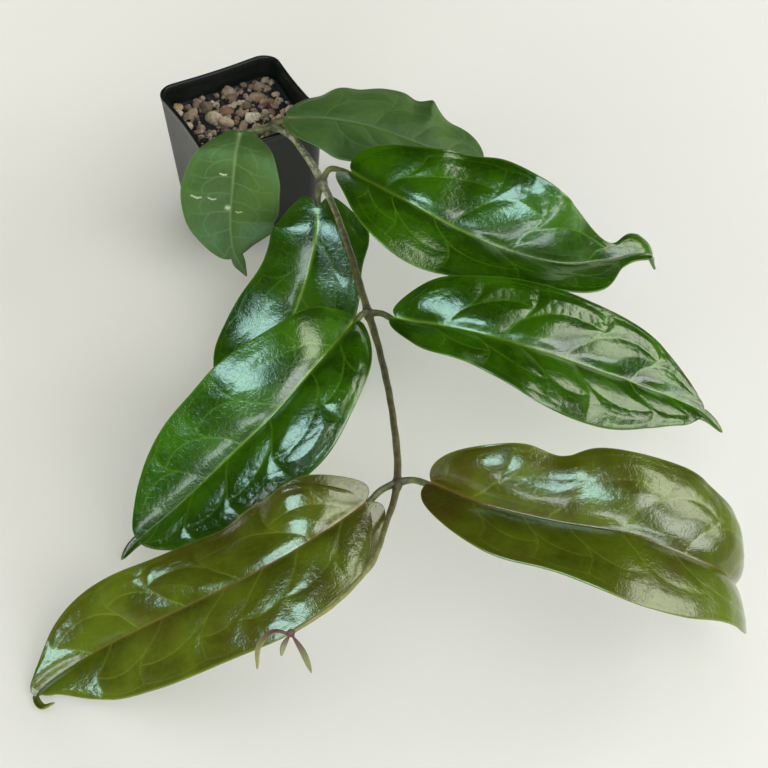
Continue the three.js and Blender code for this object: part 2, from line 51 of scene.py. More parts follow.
POT_TOP = 60.0  # outer side of the square at the rim
POT_BASE = 51.0
POT_HEIGHT = 59.0
POT_TOP_CORNER = 8.5  # corner radius at the rim
POT_BASE_CORNER = 7.2
POT_BOW = 0.8  # how far the middle of each wall leans in
POT_WALL = 1.2
POT_LIP = 1.7  # thickness of the rim band
POT_LIP_HEIGHT = 2.5
POT_LIP_PROUD = 0.12  # how far the band stands out from the wall
POT_EDGE = 0.4  # rounding of the rim
POT_FOOT = 0.7  # rounding of the bottom edge
POT_FLOOR = 1.6
POT_FLOOR_EDGE = 6  # where the floor's flat middle starts, in from the wall's outside
POT_TURN = math.radians(26)
POT_AXES = np.array([(math.cos(POT_TURN), math.sin(POT_TURN)),  # where its own x and y point
                     (-math.sin(POT_TURN), math.cos(POT_TURN))])
CORNER_STEPS = 16  # of each corner's arc
WALL_STEPS = 14  # of each wall between two corners
DRAIN_RADIUS = 3.0
DRAIN_OFFSET = 13.0  # of each hole from the middle, along both sides
DRAIN_SIDES = 32

CLEARANCE = 0.3  # between pieces that touch
MIX_LEVEL = 48.5  # top of the bark bed
BED_WAIST = 24  # height of the ring half way up the bed's side
BED_RINGS = 46  # of the bed's top, from the wall to the middle
STONE_COUNT = 66
STONE_SMALL, STONE_LARGE = 1.6, 4.0  # radii
STONE_UNEVEN = 0.2  # share by which a stone's length and width differ from its size
STONE_FLAT = 0.8  # height of a stone as a share of its size
STONE_TILT = 0.4  # radians, either way
STONE_PROUD = 0.15  # height of a stone's middle over the bed, as a share of its size
STONE_TRIES = 9  # spots drawn for each stone, of which the loneliest is kept
STONE_PLANES = 9  # that cut a stone out of its ball
STONE_DEPTH = (0.75, 1.05)  # how far from its middle they lie, nearest and farthest, in radii
STONE_SHARP = 7  # power of the soft minimum: the higher, the sharper the edges between them
STONE_SHADE = (0.75, 1.15)  # darkest and lightest that a stone may be beside its colour
STONE_WORN = 1.04  # a worn stone is this much larger than its ball, because its faces are cut back
GRIT_COUNT = 240
GRIT_SMALL, GRIT_LARGE = 0.7, 1.8
GRIT_MARGIN = 3.0  # from the wall to the nearest grit
CHIP_COUNT = 230
CHIP_HALF = (2.4, 1.3, 0.9)  # half length, width and height of a large chip
CHIP_MARGIN = 2.5
MIX_SEED = 11

# Stone colours, with how often each turns up.
STONE_TONES = [
    ((0.56, 0.45, 0.31), 6),  # cream
    ((0.40, 0.29, 0.18), 6),  # tan
    ((0.36, 0.24, 0.17), 4),  # pinkish brown
    ((0.26, 0.13, 0.07), 1),  # rust
    ((0.27, 0.33, 0.21), 1),  # pale mint green
    ((0.55, 0.38, 0.16), 1),  # yellow
    ((0.70, 0.64, 0.52), 2),  # near white
    ((0.17, 0.12, 0.07), 3),  # dark tan
]

# ------------------------------------------------------------------ the vine

NODE = {
    "pot": (15, -23, 62.5),
    "first": (37, -64.5, 63),
    "second": (55.3, -141.5, 54),
    "third": (64.5, -239, 52),
}

# The vine from its end in the mix to the growing tip: points and the radius there.
VINE = [
    ((5, -16, 24), 1.7),
    ((6, -17, 46), 1.7),
    ((9, -20.5, 58), 1.6),
    (NODE["pot"], 1.6),
    ((22.9, -31, 63.5), 1.5),
    ((31.8, -50, 63.5), 1.5),
    (NODE["first"], 1.7),
    ((41.5, -78, 61), 1.4),
    ((48.5, -107, 58), 1.4),
    (NODE["second"], 1.6),
    ((59.5, -164, 53), 1.35),
    ((64, -205, 53), 1.35),
    (NODE["third"], 1.5),
    ((59.5, -266, 57), 1.1),
    ((54, -292, 65), 1.0),
    ((40, -322, 76), 0.9),
    ((26, -342, 85), 0.8),
]
VINE_SIDES, VINE_RINGS = 24, 620
KNUCKLE_SWELL = 0.8  # extra radius at a node
KNUCKLE_REACH = 2.6  # half length of the swelling
STALK_RADIUS = 1.29
STALK_SIDES, STALK_RINGS = 20, 60
STALK_FLARE = 0.5  # extra radius of a stalk at its node
STALK_END, STALK_END_BELOW = 2.2, 0.9  # where it ends, past the foot of its blade and below it
STALK_BEND, STALK_BEND_BELOW = 0.6, 1.3  # its last bend, before that foot and below it
STALK_MIDDLE_AGE = 0.5  # a stalk's bark is as old as the middle of the vine

# ------------------------------------------------------------------ the leaves

BLADE_THICKNESS = 0.8
ROUND_MARGIN = 0.975  # share of the half width from which the blade's edge is rounded off
RIB_DEPTH = 1.1  # of the midrib under the blade, at its base
RIB_REACH = 0.95  # half width of the midrib under the blade
RIB_TAPER = 0.65  # share of its size that the midrib loses towards the tip
GROOVE_DEPTH, GROOVE_REACH = 0.12, 2.4  # of the fine groove over the midrib
CAMBER = math.radians(20)  # a half blade turns down by this much from midrib to margin
FLAT_WIDTH = 3.0  # distance from the midrib over which its top turns from level to the blade's slope
LOBE_PLACE = 0.035  # where the margin is swept back furthest, as a share of the length
EVEN_ROWS = 0.35  # share of the rows that is evenly spaced; the others crowd at foot and tip
FRAME_STEPS = 60
BLADE_ROWS = 330
TOP_COLUMNS = 171
UNDER_COLUMNS = 51
COLUMN_CROWD = 1.25  # power that crowds the columns at the margins

QUILT = 1.2  # rise of the blade between two side veins
QUILT_REACH = 6.5  # distance from a vein over which the blade rises
CREASE = 0.35  # how sharp the crease along a side vein is
RIB_CALM = 3.0  # distance from the midrib over which the quilting sets in
FADE_MARGIN = 0.25  # share of the half width over which the relief fades out at the margin
FADE_FOOT, FADE_TIP = 0.06, 0.08  # shares of the length over which it fades out at both ends
LOOP_STANDOFF = 2.5  # a loop near the margin creases the blade as if it were this much farther away
CELL = 4.5  # spacing of the small cushions between the finest veins
CELL_RISE, CELL_REACH = 0.13, 1.1
CELL_TURNS = 64  # cells after which their pattern repeats
SWAY_COUNT, SWAY_RISE = 4, 0.05  # low waves that keep the relief from looking regular
SWAY_SHORT, SWAY_MORE = 14, 14  # their shortest length, and how much longer they may be
MAIN_LINE, LOOP_LINE, CELL_LINE = 0.42, 0.4, 0.5  # half widths of the pale lines along the veins
LOOP_PALE, CELL_PALE = 0.45, 0.22  # how pale they are beside the main side veins
FORK_OUT, FORK_VARY = 0.36, 0.1  # where a side vein forks, as a share of the half width
BRANCH_OUT = 0.86  # where its branches end
CELL_ARCH, LOOP_ARCH = 0.13, 0.05  # how far the loops between two veins bow out
FAR = 1e3  # farther than any distance on the plant

# What a leaf has if its own entry doesn't say otherwise.
PLAIN_LEAF = dict(waves=[], bays=[], scars=[], dome=(0, 0), lean=0.17)

# Each blade, with the left side given first and called -1, and places as shares of the midrib's length:
# rib: midrib points from foot to tip
# half, skew, full, body: half width, and the shape of the arch that it follows
# lobe, tail: how far the foot is swept back, and the width of the slender tip
# lift: of the left and of the right half, in degrees, at equal steps
# waves: of the margin, as (side, place, reach, rise)
# bays: bays and bulges of the margin, as (side, place, reach, widening)
# veins, lean: where the side veins leave the midrib, and how far forward they run to the margin
# node, knees: where its stalk starts, and the stalk's bends
# quilt, dome: how strongly each half swells between its veins, and how far it rises as a whole
# trough: depth and reach of the hollow along the midrib
# scars: as (side, place, share of the half width, size, thickness)
LEAVES = {
    "leaf_a": PLAIN_LEAF | dict(
        rib=[(1, -34, 68), (-1, -44, 64), (-3, -50, 52), (-5, -59, 38), (-4, -69, 30), (1.5, -76, 20)],
        half=21, lift=((12, 32, 12, 7), (4, 10, 11, 15)), skew=0.95, full=0.65, body=0.853, lobe=2.5,
        tail=8,
        bays=[(-1, 0.3, 0.1, 1.9), (-1, 0.75, 0.08, 4.5), (-1, 0.9, 0.05, 1),
              (1, 0.3, 0.1, -0.7), (1, 0.75, 0.08, -1), (1, 0.9, 0.05, 0.9)],
        veins=((0.1, 0.22, 0.35, 0.47, 0.6, 0.72), (0.08, 0.2, 0.31, 0.42, 0.54, 0.66, 0.78)),
        node="pot", knees=[(9, -27, 64)], finish="old_leaf",
        quilt=(0.35, 0.35), trough=(0.3, 3), lean=0.06,
        scars=[(1, 0.30, 0.16, 2.5, 0.35), (1, 0.52, 0.05, 0.6, 0.9), (1, 0.47, 0.30, 3.5, 0.25),
               (1, 0.47, 0.58, 4.5, 0.3), (-1, 0.54, 0.12, 3.0, 0.2)],
    ),
    "leaf_b": PLAIN_LEAF | dict(
        rib=[(22.5, -24, 68), (39, -27, 69.5), (60, -30, 66), (82, -34, 58), (101, -35, 50),
             (115, -41, 44)],
        half=25, lift=((12, 12, 22, 22), (10, 8, 10, 12)), skew=0.95, full=0.58, body=0.92, lobe=3,
        tail=8,
        waves=[(-1, 0.12, 0.05, -2), (-1, 0.3, 0.06, -2), (-1, 0.55, 0.05, -2.5),
               (-1, 0.75, 0.05, -2.5), (-1, 0.64, 0.04, 2), (1, 0.25, 0.06, -2), (1, 0.5, 0.06, 2)],
        veins=((0.16, 0.38, 0.58, 0.74, 0.86), (0.2, 0.34, 0.5, 0.66, 0.8)),
        node="pot", knees=[(18, -22.5, 64.5)], finish="old_leaf",
        quilt=(0.8, 0.8), trough=(0.4, 3),
    ),
    "leaf_c": PLAIN_LEAF | dict(
        rib=[(50.4, -71.5, 73), (75, -96, 75), (97, -106.5, 67), (118, -111.5, 59), (140, -113, 53),
             (161, -107, 49.5), (175, -102.5, 47.5), (179.5, -106, 41)],
        half=34.5, lift=((40, 20, 50, 0), (34, 14, 37, 47)), skew=0.72, full=0.76, body=0.975, lobe=6,
        tail=2.5, waves=[(-1, 0.3, 0.07, -2), (-1, 0.6, 0.2, 4)],
        bays=[(-1, 0.15, 0.1, -4), (-1, 0.4, 0.1, 3), (-1, 0.84, 0.06, -8), (-1, 0.94, 0.04, 4.8),
              (1, 0.13, 0.12, -6.5), (1, 0.45, 0.14, -7), (1, 0.74, 0.06, 4.5), (1, 0.86, 0.06, -4),
              (1, 0.95, 0.04, 5.7)],
        veins=((0.12, 0.36, 0.54, 0.76), (0.06, 0.17, 0.31, 0.48, 0.62, 0.76)),
        node="first", knees=[(40.5, -64, 69.5), (45.5, -68, 72)], finish="leaf",
        quilt=(0.9, 0.45), trough=(0.6, 4),
    ),
    "leaf_d": PLAIN_LEAF | dict(
        rib=[(34.6, -74, 56), (34, -83, 51), (29, -95, 36), (23, -104, 23), (11, -121, 9.5),
             (-3, -142, 5), (-16, -164, 3)],
        half=24, lift=((-14, 7, 10, 10), (12, 10, 7, 8)), skew=1.04, full=0.46, body=0.94, lobe=8.5,
        tail=9,
        bays=[(-1, 0.12, 0.07, 6.5), (-1, 0.3, 0.1, 1.5),
              (1, 0.12, 0.07, 3.5), (1, 0.3, 0.1, -2.2), (1, 0.75, 0.08, -5)],
        veins=((0.12, 0.32, 0.5, 0.66, 0.8), (0.2, 0.38, 0.55, 0.7, 0.83)),
        node="first", knees=[(35, -68, 57.4)], finish="leaf",
        quilt=(0.6, 0.15), trough=(0.6, 4), lean=0.19,
    ),
    "leaf_e": PLAIN_LEAF | dict(
        rib=[(49, -154, 60), (35, -180, 63), (16, -200, 54), (-3, -210, 40), (-24, -220, 24),
             (-42, -228, 12), (-48, -232, 6)],
        half=26.7, lift=((12, 5, 9, 13), (44, 28, 26, 29)), skew=1.05, full=0.64, body=0.926, lobe=4,
        tail=15,
        bays=[(-1, 0.3, 0.1, -1.6), (-1, 0.55, 0.1, -3.9), (-1, 0.75, 0.08, -1),
              (1, 0.1, 0.08, 3.5), (1, 0.55, 0.1, -1.6), (1, 0.9, 0.05, -1.3)],
        veins=((0.1, 0.24, 0.42, 0.58, 0.72, 0.84), (0.13, 0.38, 0.53, 0.66, 0.8)),
        node="second", knees=[(52.5, -147, 58)], finish="leaf",
        quilt=(1.1, 0.3), dome=(1.2, 0), trough=(0.8, 4),
    ),
    "leaf_f": PLAIN_LEAF | dict(
        rib=[(67, -150, 58), (93, -162, 62), (120, -170, 58), (146, -173, 48), (171, -175, 36),
             (192, -179, 26), (200, -186, 20)],
        half=27.5, lift=((38, 19, 27, 17), (10, 17, 1, 6)), skew=0.88, full=0.76, body=0.923, lobe=4.5,
        tail=15, waves=[(1, 0.18, 0.07, 2), (1, 0.3, 0.06, -2)],
        bays=[(-1, 0.1, 0.08, 3.5), (-1, 0.3, 0.1, 1.3), (-1, 0.55, 0.1, -1.3), (-1, 0.75, 0.08, 1.5),
              (-1, 0.9, 0.05, -1.7), (1, 0.1, 0.08, -3.2), (1, 0.3, 0.1, -8.8), (1, 0.55, 0.1, -1),
              (1, 0.9, 0.05, 2.6)],
        veins=((0.145, 0.31, 0.5, 0.69, 0.82), (0.1, 0.22, 0.36, 0.51, 0.69, 0.81)),
        node="second", knees=[(61, -144.5, 56)], finish="leaf",
        quilt=(1.3, 1.0), trough=(0.8, 4.5),
    ),
    "leaf_g": PLAIN_LEAF | dict(
        rib=[(52, -253, 56), (30, -273, 57), (3, -282, 46), (-26, -285, 31), (-56, -286, 12),
             (-74, -293, 3.6), (-78, -297, 1.4), (-75, -303, 1.4), (-70, -303, 4)],
        half=24.3, lift=((-18, 7, 0, 8), (38, -4, 28, 38)), skew=0.87, full=0.6, body=0.928, lobe=8,
        tail=14, waves=[(1, 0.3, 0.05, 2.7), (1, 0.16, 0.08, 1.4)],
        bays=[(-1, 0.12, 0.07, 3.4), (-1, 0.3, 0.1, 4.3), (-1, 0.75, 0.08, 1.3), (-1, 0.89, 0.05, -2.8),
              (1, 0.12, 0.07, 4.6), (1, 0.3, 0.1, 4), (1, 0.55, 0.1, -3.2), (1, 0.75, 0.08, 2),
              (1, 0.89, 0.05, -3)],
        veins=((0.08, 0.2, 0.3, 0.4, 0.56, 0.7), (0.02, 0.17, 0.36, 0.5, 0.62, 0.76)),
        node="third", knees=[(58, -245, 54)], finish="young_leaf",
        quilt=(0.8, 1.0), trough=(0.6, 4),
    ),
    "leaf_h": PLAIN_LEAF | dict(
        rib=[(77.6, -245, 57), (96, -261, 62), (124, -272, 62), (151, -280, 62), (174, -286, 54),
             (188, -286, 44), (192, -281, 31), (189, -272, 18), (184, -264, 12)],
        half=29.3, lift=((64, 36, 17, 12), (13, 17, 14, 19)), skew=0.92, full=0.51, body=0.95, lobe=3,
        tail=6.7,
        bays=[(-1, 0.31, 0.06, -4.7), (-1, 0.62, 0.1, 4.8), (-1, 0.75, 0.06, 2),
              (1, 0.12, 0.1, -4.5), (1, 0.35, 0.1, -4.4), (1, 0.55, 0.1, 1.8), (1, 0.72, 0.06, -2)],
        veins=((0.12, 0.31, 0.47, 0.62, 0.76), (0.12, 0.24, 0.35, 0.48, 0.6, 0.74)),
        node="third", knees=[(70.5, -240, 54)], finish="young_leaf",
        quilt=(0.6, 0.4), dome=(2.1, 0), trough=(0.8, 5),
    ),
}

BUD_RADIUS = 1.5
# The small leaves at the growing tip: midrib points from the bud's middle, and half width.
TIP_LEAVES = [
    ([(-0.5, -0.5, 0.2), (-6, -0.5, 1.5), (-11, -4.5, -1), (-12, -11, -6)], 1.0),
    ([(0.2, -0.7, 0), (4, -7, -2), (7, -15, -4)], 0.7),
    ([(-0.4, -0.5, -0.3), (-2.6, -4, -2), (-3.6, -7, -4)], 0.6),
]
TIP_LEAF = PLAIN_LEAF | dict(lift=((30, 20, 10), (30, 20, 10)), skew=0.9, full=0.7, body=1, lobe=0,
                             tail=1.5)
TIP_ROWS, TIP_COLUMNS = 40, 15
TIP_THICKNESS, TIP_RIB, TIP_RIB_REACH = 0.35, 0.3, 0.4

# ------------------------------------------------------------------ the view

CAMERA_PLACE = (60.8, -909.9, 738.0)
CAMERA_DOWN = math.radians(43.34)
CAMERA_ROLL = math.radians(2.165)
CAMERA_LENS = 115.48
CAMERA_SENSOR = 36

# The rest of this section is in metres and watts.
FLOOR_REACH = 4.0
FLOOR_DROP = 0.0003  # of the floor under the pot
PANE_HEIGHT = 1.45
# Each pane of the window as the gloss shows it: name, place, size, power and colour.
PANES = [
    ("left_pane", (-0.46, -0.64), (0.96, 0.66), 22, (0.62, 0.96, 0.98)),
    ("low_pane", (-0.1, -2.45), (1.5, 0.8), 32, (0.86, 0.95, 1.0)),
    ("near_pane", (1.3, -1.15), (1.3, 1.0), 30, (0.94, 0.97, 0.96)),
    ("right_pane", (1.75, 0.05), (1.7, 1.0), 32, (0.98, 1.0, 0.82)),
]
# Each light that falls on the plant from above: name, place, size, power and colour.
LAMPS = [
    ("window", (1.1, -1.6, 1.2), (1.6, 1.6), 22, (1.0, 0.98, 0.95)),
    ("overhead", (0.1, 0.0, 2.2), (3.4, 3.4), 12, (1.0, 0.985, 0.94)),
]
LAMPS_AIM = (0.06, -0.2, 0.05)
WALL_HEIGHT = 0.55  # of the middle of each pale wall
WALL_SIZE = (3.5, 1.0)
# Each pale wall as a light: name, place, power and colour.
WALLS = [
    ("left", (-2.2, 0), 54, (1.0, 0.95, 0.76)),
    ("right", (2.4, 0), 82, (1.0, 0.99, 0.98)),
    ("back", (0, 2.2), 64, (1.0, 0.98, 0.94)),
    ("front", (0, -2.8), 86, (1.0, 0.99, 0.98)),
]
SURROUND_COLOUR = (0.96, 0.98, 1.0, 1)
SURROUND_BAND = (0.02, 0.2)  # upward share of the view over which the surround turns dark
SURROUND_STRENGTH = (0.3, 0.002)  # at the horizon and above it


# ------------------------------------------------------------------ shader maths

class Signal:
    """A shader socket that ordinary arithmetic works on. Each operator adds one Math node."""

    def __init__(self, finish, socket):
        self.finish = finish
        self.socket = socket

    def math(self, operation, first, second):
        return self.finish.add("ShaderNodeMath", {"operation": operation}, {0: first, 1: second})

    def __add__(self, other):
        return self.math("ADD", self, other)

    def __sub__(self, other):
        return self.math("SUBTRACT", self, other)

    def __rsub__(self, other):
        return self.math("SUBTRACT", other, self)

    def __mul__(self, other):
        return self.math("MULTIPLY", self, other)

    __radd__ = __add__
    __rmul__ = __mul__

    def smooth(self, low, high):
        """0 below low, 1 above high, and an eased rise between."""
        settings = {"interpolation_type": "SMOOTHSTEP"}
        return self.finish.add("ShaderNodeMapRange", settings,
                               {"Value": self, "From Min": low, "From Max": high})


class Finish:
    """One material: a Principled shader and the nodes that feed it. A socket's name is written with
    underscores for its spaces."""

    def __init__(self, name, **constants):
        self.material = bpy.data.materials.new(name)
        self.material.use_nodes = True
        self.tree = self.material.node_tree
        self.shader = self.tree.nodes["Principled BSDF"]
        for socket, value in constants.items():
            self.shader.inputs[socket.replace("_", " ")].default_value = value

    def add(self, kind, settings, inputs, output=0):
        """Adds a node: its settings first, then the values or links of its sockets."""
        node = self.tree.nodes.new(kind)
        for name, value in settings.items():
            setattr(node, name, value)
        for key, value in inputs.items():
            self.feed(node.inputs[key], value)
        return Signal(self, node.outputs[output])

    def feed(self, socket, value):
        """Links a signal to a socket, or sets the socket to a number or a colour."""
        if isinstance(value, Signal):
            self.tree.links.new(value.socket, socket)
        elif isinstance(value, tuple) and len(value) == 3 and socket.type == "RGBA":
            socket.default_value = (*value, 1)
        else:
            socket.default_value = value

    def attribute(self, name, output="Fac"):
        """What the mesh says at each point under a name."""
        return self.add("ShaderNodeAttribute", {"attribute_name": name}, {}, output)

    def place(self):
        """The place on the object, in metres."""
        return self.add("ShaderNodeTexCoord", {}, {}, "Object")

    def noise(self, scale, detail=2.0, roughness=0.5, stretch=(1, 1, 1)):
        """A cloudy pattern from 0 to 1, with about scale clouds in a metre."""
        place = self.add("ShaderNodeMapping", {}, {"Vector": self.place(), "Scale": stretch})
        return self.add("ShaderNodeTexNoise", {},
                        {"Vector": place, "Scale": scale, "Detail": detail, "Roughness": roughness})

    def cell_edges(self, scale):
        """The distance from the nearest edge in a pattern of cells, with about scale cells in a metre."""
        return self.add("ShaderNodeTexVoronoi", {"feature": "DISTANCE_TO_EDGE"},
                        {"Vector": self.place(), "Scale": scale}, "Distance")

    def blend(self, share, first, second):
        """A colour that runs from first to second as share runs from 0 to 1."""
        inputs = {0: share, 6: first, 7: second}
        return self.add("ShaderNodeMix", {"data_type": "RGBA"}, inputs, 2)

    def relief(self, height, distance, strength):
        """Lets the gloss follow a height that is this many metres from 0 to 1."""
        bump = self.add("ShaderNodeBump", {},
                        {"Height": height, "Distance": distance, "Strength": strength})
        self.feed(self.shader.inputs["Normal"], bump)

    def paint(self, **signals):
        """Feeds the shader's sockets and gives the material."""
        for socket, value in signals.items():
            self.feed(self.shader.inputs[socket.replace("_", " ")], value)
        return self.material


# Each kind of leaf: two shades of its blade, the colours of its side veins, underside and midrib, and how
# rough its gloss is; film is the dull bloom of an old leaf, scar its scratches, and bronze the patches
# of a young one.
LEAF_LOOKS = {
    "old_leaf": dict(deep=(0.022, 0.068, 0.006), fresh=(0.038, 0.098, 0.010), vein=(0.10, 0.17, 0.06),
                     under=(0.08, 0.14, 0.05), rib=(0.15, 0.23, 0.08), gloss=0.45,
                     film=(0.062, 0.115, 0.035), scar=(0.62, 0.66, 0.50)),
    "leaf": dict(deep=(0.011, 0.042, 0.0002), fresh=(0.027, 0.094, 0.0004), vein=(0.075, 0.19, 0.008),
                 under=(0.05, 0.13, 0.02), rib=(0.13, 0.27, 0.012), gloss=0.15),
    "young_leaf": dict(deep=(0.042, 0.058, 0.002), fresh=(0.070, 0.102, 0.004), vein=(0.13, 0.18, 0.018),
                       under=(0.07, 0.10, 0.03), rib=(0.13, 0.10, 0.022), gloss=0.16,
                       bronze=(0.045, 0.030, 0.005)),
}


def leaf_finish(name, deep, fresh, vein, under, rib, gloss, film=None, bronze=None, scar=None):
    """A leaf: blade colour in soft patches, paler veins and midrib, a thin pale margin, another colour
    underneath, a dull film where it is old, bronze patches where it is young, and fine wrinkles. A leaf
    without the film has a clear coat on its upper face."""
    finish = Finish(name, IOR=1.5, Specular_IOR_Level=0.2 if film else 0.5, Coat_Roughness=gloss * 0.75)
    patches = finish.noise(55, 3).smooth(0.35, 0.68)
    fine = finish.noise(420, 2)
    veins = finish.attribute("vein")
    beneath = finish.attribute("under")
    net = 1 - finish.cell_edges(340).smooth(0.0, 0.12)
    lines = (veins * 0.62 + net * 0.08).smooth(0.0, 1.0)
    colour = finish.blend(lines, finish.blend(patches, deep, fresh), vein)
    if bronze:
        cloud = finish.noise(38, 3).smooth(0.42, 0.7)
        foot = 1 - finish.attribute("along").smooth(0.0, 0.16)
        colour = finish.blend(cloud * 0.55 + foot * 0.4, colour, bronze)
    colour = finish.blend(finish.attribute("rib"), colour, rib)
    colour = finish.blend(finish.attribute("edge") * 0.4, colour, vein)
    if film:
        dust = (finish.noise(75, 4, 0.6) * 0.6 + fine * 0.4).smooth(0.35, 0.75)
        colour = finish.blend(dust * 0.45 + 0.15, colour, film)
    if scar:
        colour = finish.blend(finish.attribute("scar"), colour, scar)
    colour = finish.blend(beneath, colour, under)
    wrinkles = finish.noise(520, 3, 0.6) * 0.6 + finish.noise(1500, 2) * 0.25 - net * 0.08
    finish.relief(wrinkles, 0.0004, 0.7)
    if not film:
        finish.paint(Coat_Weight=(1 - beneath) * 0.4)
    return finish.paint(Base_Color=colour, Roughness=gloss + fine * 0.05 + beneath * 0.3 + veins * 0.05)


def stem_finish():
    """Bark of the vine: grey green and mottled cream at the pot, olive brown along it, yellow green at
    the tip, dark brown at the nodes and green on the leaf stalks, with fine specks and grain."""
    finish = Finish("stem", IOR=1.45)
    age = finish.attribute("age")
    mottle = finish.noise(300, 4, 0.65).smooth(0.42, 0.62)
    old = finish.blend(mottle, (0.085, 0.10, 0.045), (0.30, 0.31, 0.20))
    middle = finish.blend(mottle, (0.045, 0.042, 0.011), (0.085, 0.082, 0.022))
    young = finish.blend(mottle, (0.10, 0.11, 0.025), (0.17, 0.155, 0.055))
    colour = finish.blend(age.smooth(0.2, 0.36), old, middle)
    colour = finish.blend(age.smooth(0.66, 0.9), colour, young)
    specks = finish.noise(1400, 2).smooth(0.62, 0.7)
    colour = finish.blend(specks * 0.3, colour, (0.05, 0.03, 0.015))
    colour = finish.blend(finish.attribute("stalk"), colour,
                          finish.blend(mottle, (0.05, 0.058, 0.016), (0.10, 0.115, 0.035)))
    colour = finish.blend(finish.attribute("knuckle") * 0.9, colour, (0.03, 0.02, 0.012))
    finish.relief(finish.noise(1600, 3) + mottle * 0.3, 0.0002, 0.5)
    return finish.paint(Base_Color=colour, Roughness=finish.noise(700, 2) * 0.2 + 0.42)


def pot_finish():
    """Satin black moulded plastic, faintly scuffed and dusty."""
    finish = Finish("pot", IOR=1.5, Specular_IOR_Level=0.5)
    scuffs = finish.noise(90, 5, 0.65).smooth(0.5, 0.8)
    dust = finish.noise(700, 2).smooth(0.62, 0.8)
    colour = finish.blend(scuffs * 0.35, (0.005, 0.0065, 0.0055), (0.016, 0.019, 0.016))
    colour = finish.blend(dust * 0.1, colour, (0.16, 0.15, 0.13))
    finish.relief(finish.noise(1800, 2) * 0.5 + finish.noise(120, 2) * 0.5, 0.0001, 0.35)
    return finish.paint(Base_Color=colour, Roughness=scuffs * 0.12 + 0.36)


def stone_finish():
    """Dry grit: each stone's own colour with darker specks, pale dust and pits."""
    finish = Finish("grit", IOR=1.45, Roughness=0.86)
    own = finish.attribute("tone", "Color")
    specks = finish.noise(900, 4, 0.7).smooth(0.46, 0.66)
    colour = finish.blend(specks * 0.55, own, (0.13, 0.075, 0.04))
    dust = finish.noise(420, 3).smooth(0.52, 0.74)
    colour = finish.blend(dust * 0.4, colour, (0.62, 0.53, 0.4))
    finish.relief(finish.noise(900, 4, 0.7), 0.0005, 0.8)
    return finish.paint(Base_Color=colour)


def bark_and_shade_finish():
    """Black bark and peat with a few brown fibres. Its near-black colour is partly the dark bark of the
    mix and partly painted shade, for the gaps between the stones where it shows as the bed.
    """
    finish = Finish("bark", IOR=1.4, Roughness=0.8)
    fibres = finish.noise(1100, 4, 0.65, (1, 0.3, 1)).smooth(0.5, 0.75)
    colour = finish.blend(fibres * 0.6, (0.006, 0.0045, 0.0035), (0.05, 0.030, 0.018))
    finish.relief(finish.noise(1200, 4, 0.7), 0.0008, 0.9)
    return finish.paint(Base_Color=colour)


def tip_finish():
    """Young growth: brown purple at the bud, turning pale green along each small leaf."""
    finish = Finish("growing_tip", IOR=1.45, Roughness=0.55)
    along = finish.attribute("along")
    hairs = finish.noise(2200, 2, 0.5, (1, 0.4, 1))
    green = finish.blend(hairs, (0.10, 0.125, 0.03), (0.24, 0.23, 0.09))
    colour = finish.blend(along.smooth(0.15, 0.8), (0.07, 0.028, 0.02), green)
    finish.relief(hairs, 0.0002, 0.5)
    return finish.paint(Base_Color=colour)


# ------------------------------------------------------------------ curves and meshes

class Curve:
    """A smooth curve through points. Each span is a cubic whose end slopes follow the square roots of
    the chords (centripetal Catmull-Rom), and a share from 0 to 1 runs along its length."""

    SAMPLES = 400

    def __init__(self, points):
        given = np.array(points, float)
        before = 2 * given[0] - given[1]
        after = 2 * given[-1] - given[-2]
        self.points = np.vstack([before, given, after])
        self.spans = len(given) - 1
        self.steps = np.linspace(0, self.spans, self.SAMPLES)
        path = self.at_step(self.steps)[0]
        lengths = np.concatenate([[0], np.cumsum(np.linalg.norm(np.diff(path, axis=0), axis=1))])
        self.length = lengths[-1]
        self.shares = lengths / self.length

    def at_step(self, step):
        """Points and unit tangents where step counts the given points from 0."""
        span = np.minimum(np.floor(step).astype(int), self.spans - 1)
        part = (step - span)[..., None]
        p0, p1, p2, p3 = (self.points[span + k] for k in range(4))
        d0, d1, d2 = (np.linalg.norm(b - a, axis=-1, keepdims=True) ** 0.5
                      for a, b in ((p0, p1), (p1, p2), (p2, p3)))
        start = ((p1 - p0) / d0 - (p2 - p0) / (d0 + d1) + (p2 - p1) / d1) * d1
        end = ((p2 - p1) / d1 - (p3 - p1) / (d1 + d2) + (p3 - p2) / d2) * d1
        c2 = 3 * (p2 - p1) - 2 * start - end
        c3 = 2 * (p1 - p2) + start + end
        place = p1 + part * (start + part * (c2 + part * c3))
        slope = start + part * (2 * c2 + 3 * part * c3)
        return place, slope / np.linalg.norm(slope, axis=-1, keepdims=True)

    def at(self, share):
        """Points and unit tangents at shares of the length."""
        return self.at_step(np.interp(share, self.shares, self.steps))

    def value(self, stations, share):
        """Values given at the points, read off at shares of the length."""
        return np.interp(np.interp(share, self.shares, self.steps), np.arange(len(stations)), stations)


def unit(vectors):
    """The vectors at length 1."""
    return vectors / np.maximum(np.linalg.norm(vectors, axis=-1, keepdims=True), 1e-12)


def without(vectors, axis):
    """The vectors less their part along a unit axis."""
    return vectors - (vectors * axis).sum(-1, keepdims=True) * axis


def turned(points, tilt, turn):
    """The points tilted about X and then turned about Z."""
    matrix = Matrix.Rotation(turn, 3, "Z") @ Matrix.Rotation(tilt, 3, "X")
    return points @ np.array(matrix).T


def carried(curve, start, count):
    """A direction square to the curve, carried along it without twisting about it."""
    tangents = curve.at(np.linspace(0, 1, count + 1))[1]
    directions = [unit(without(np.array(start, float), tangents[0]))]
    for tangent in tangents[1:]:
        directions.append(unit(without(directions[-1], tangent)))
    return np.array(directions)


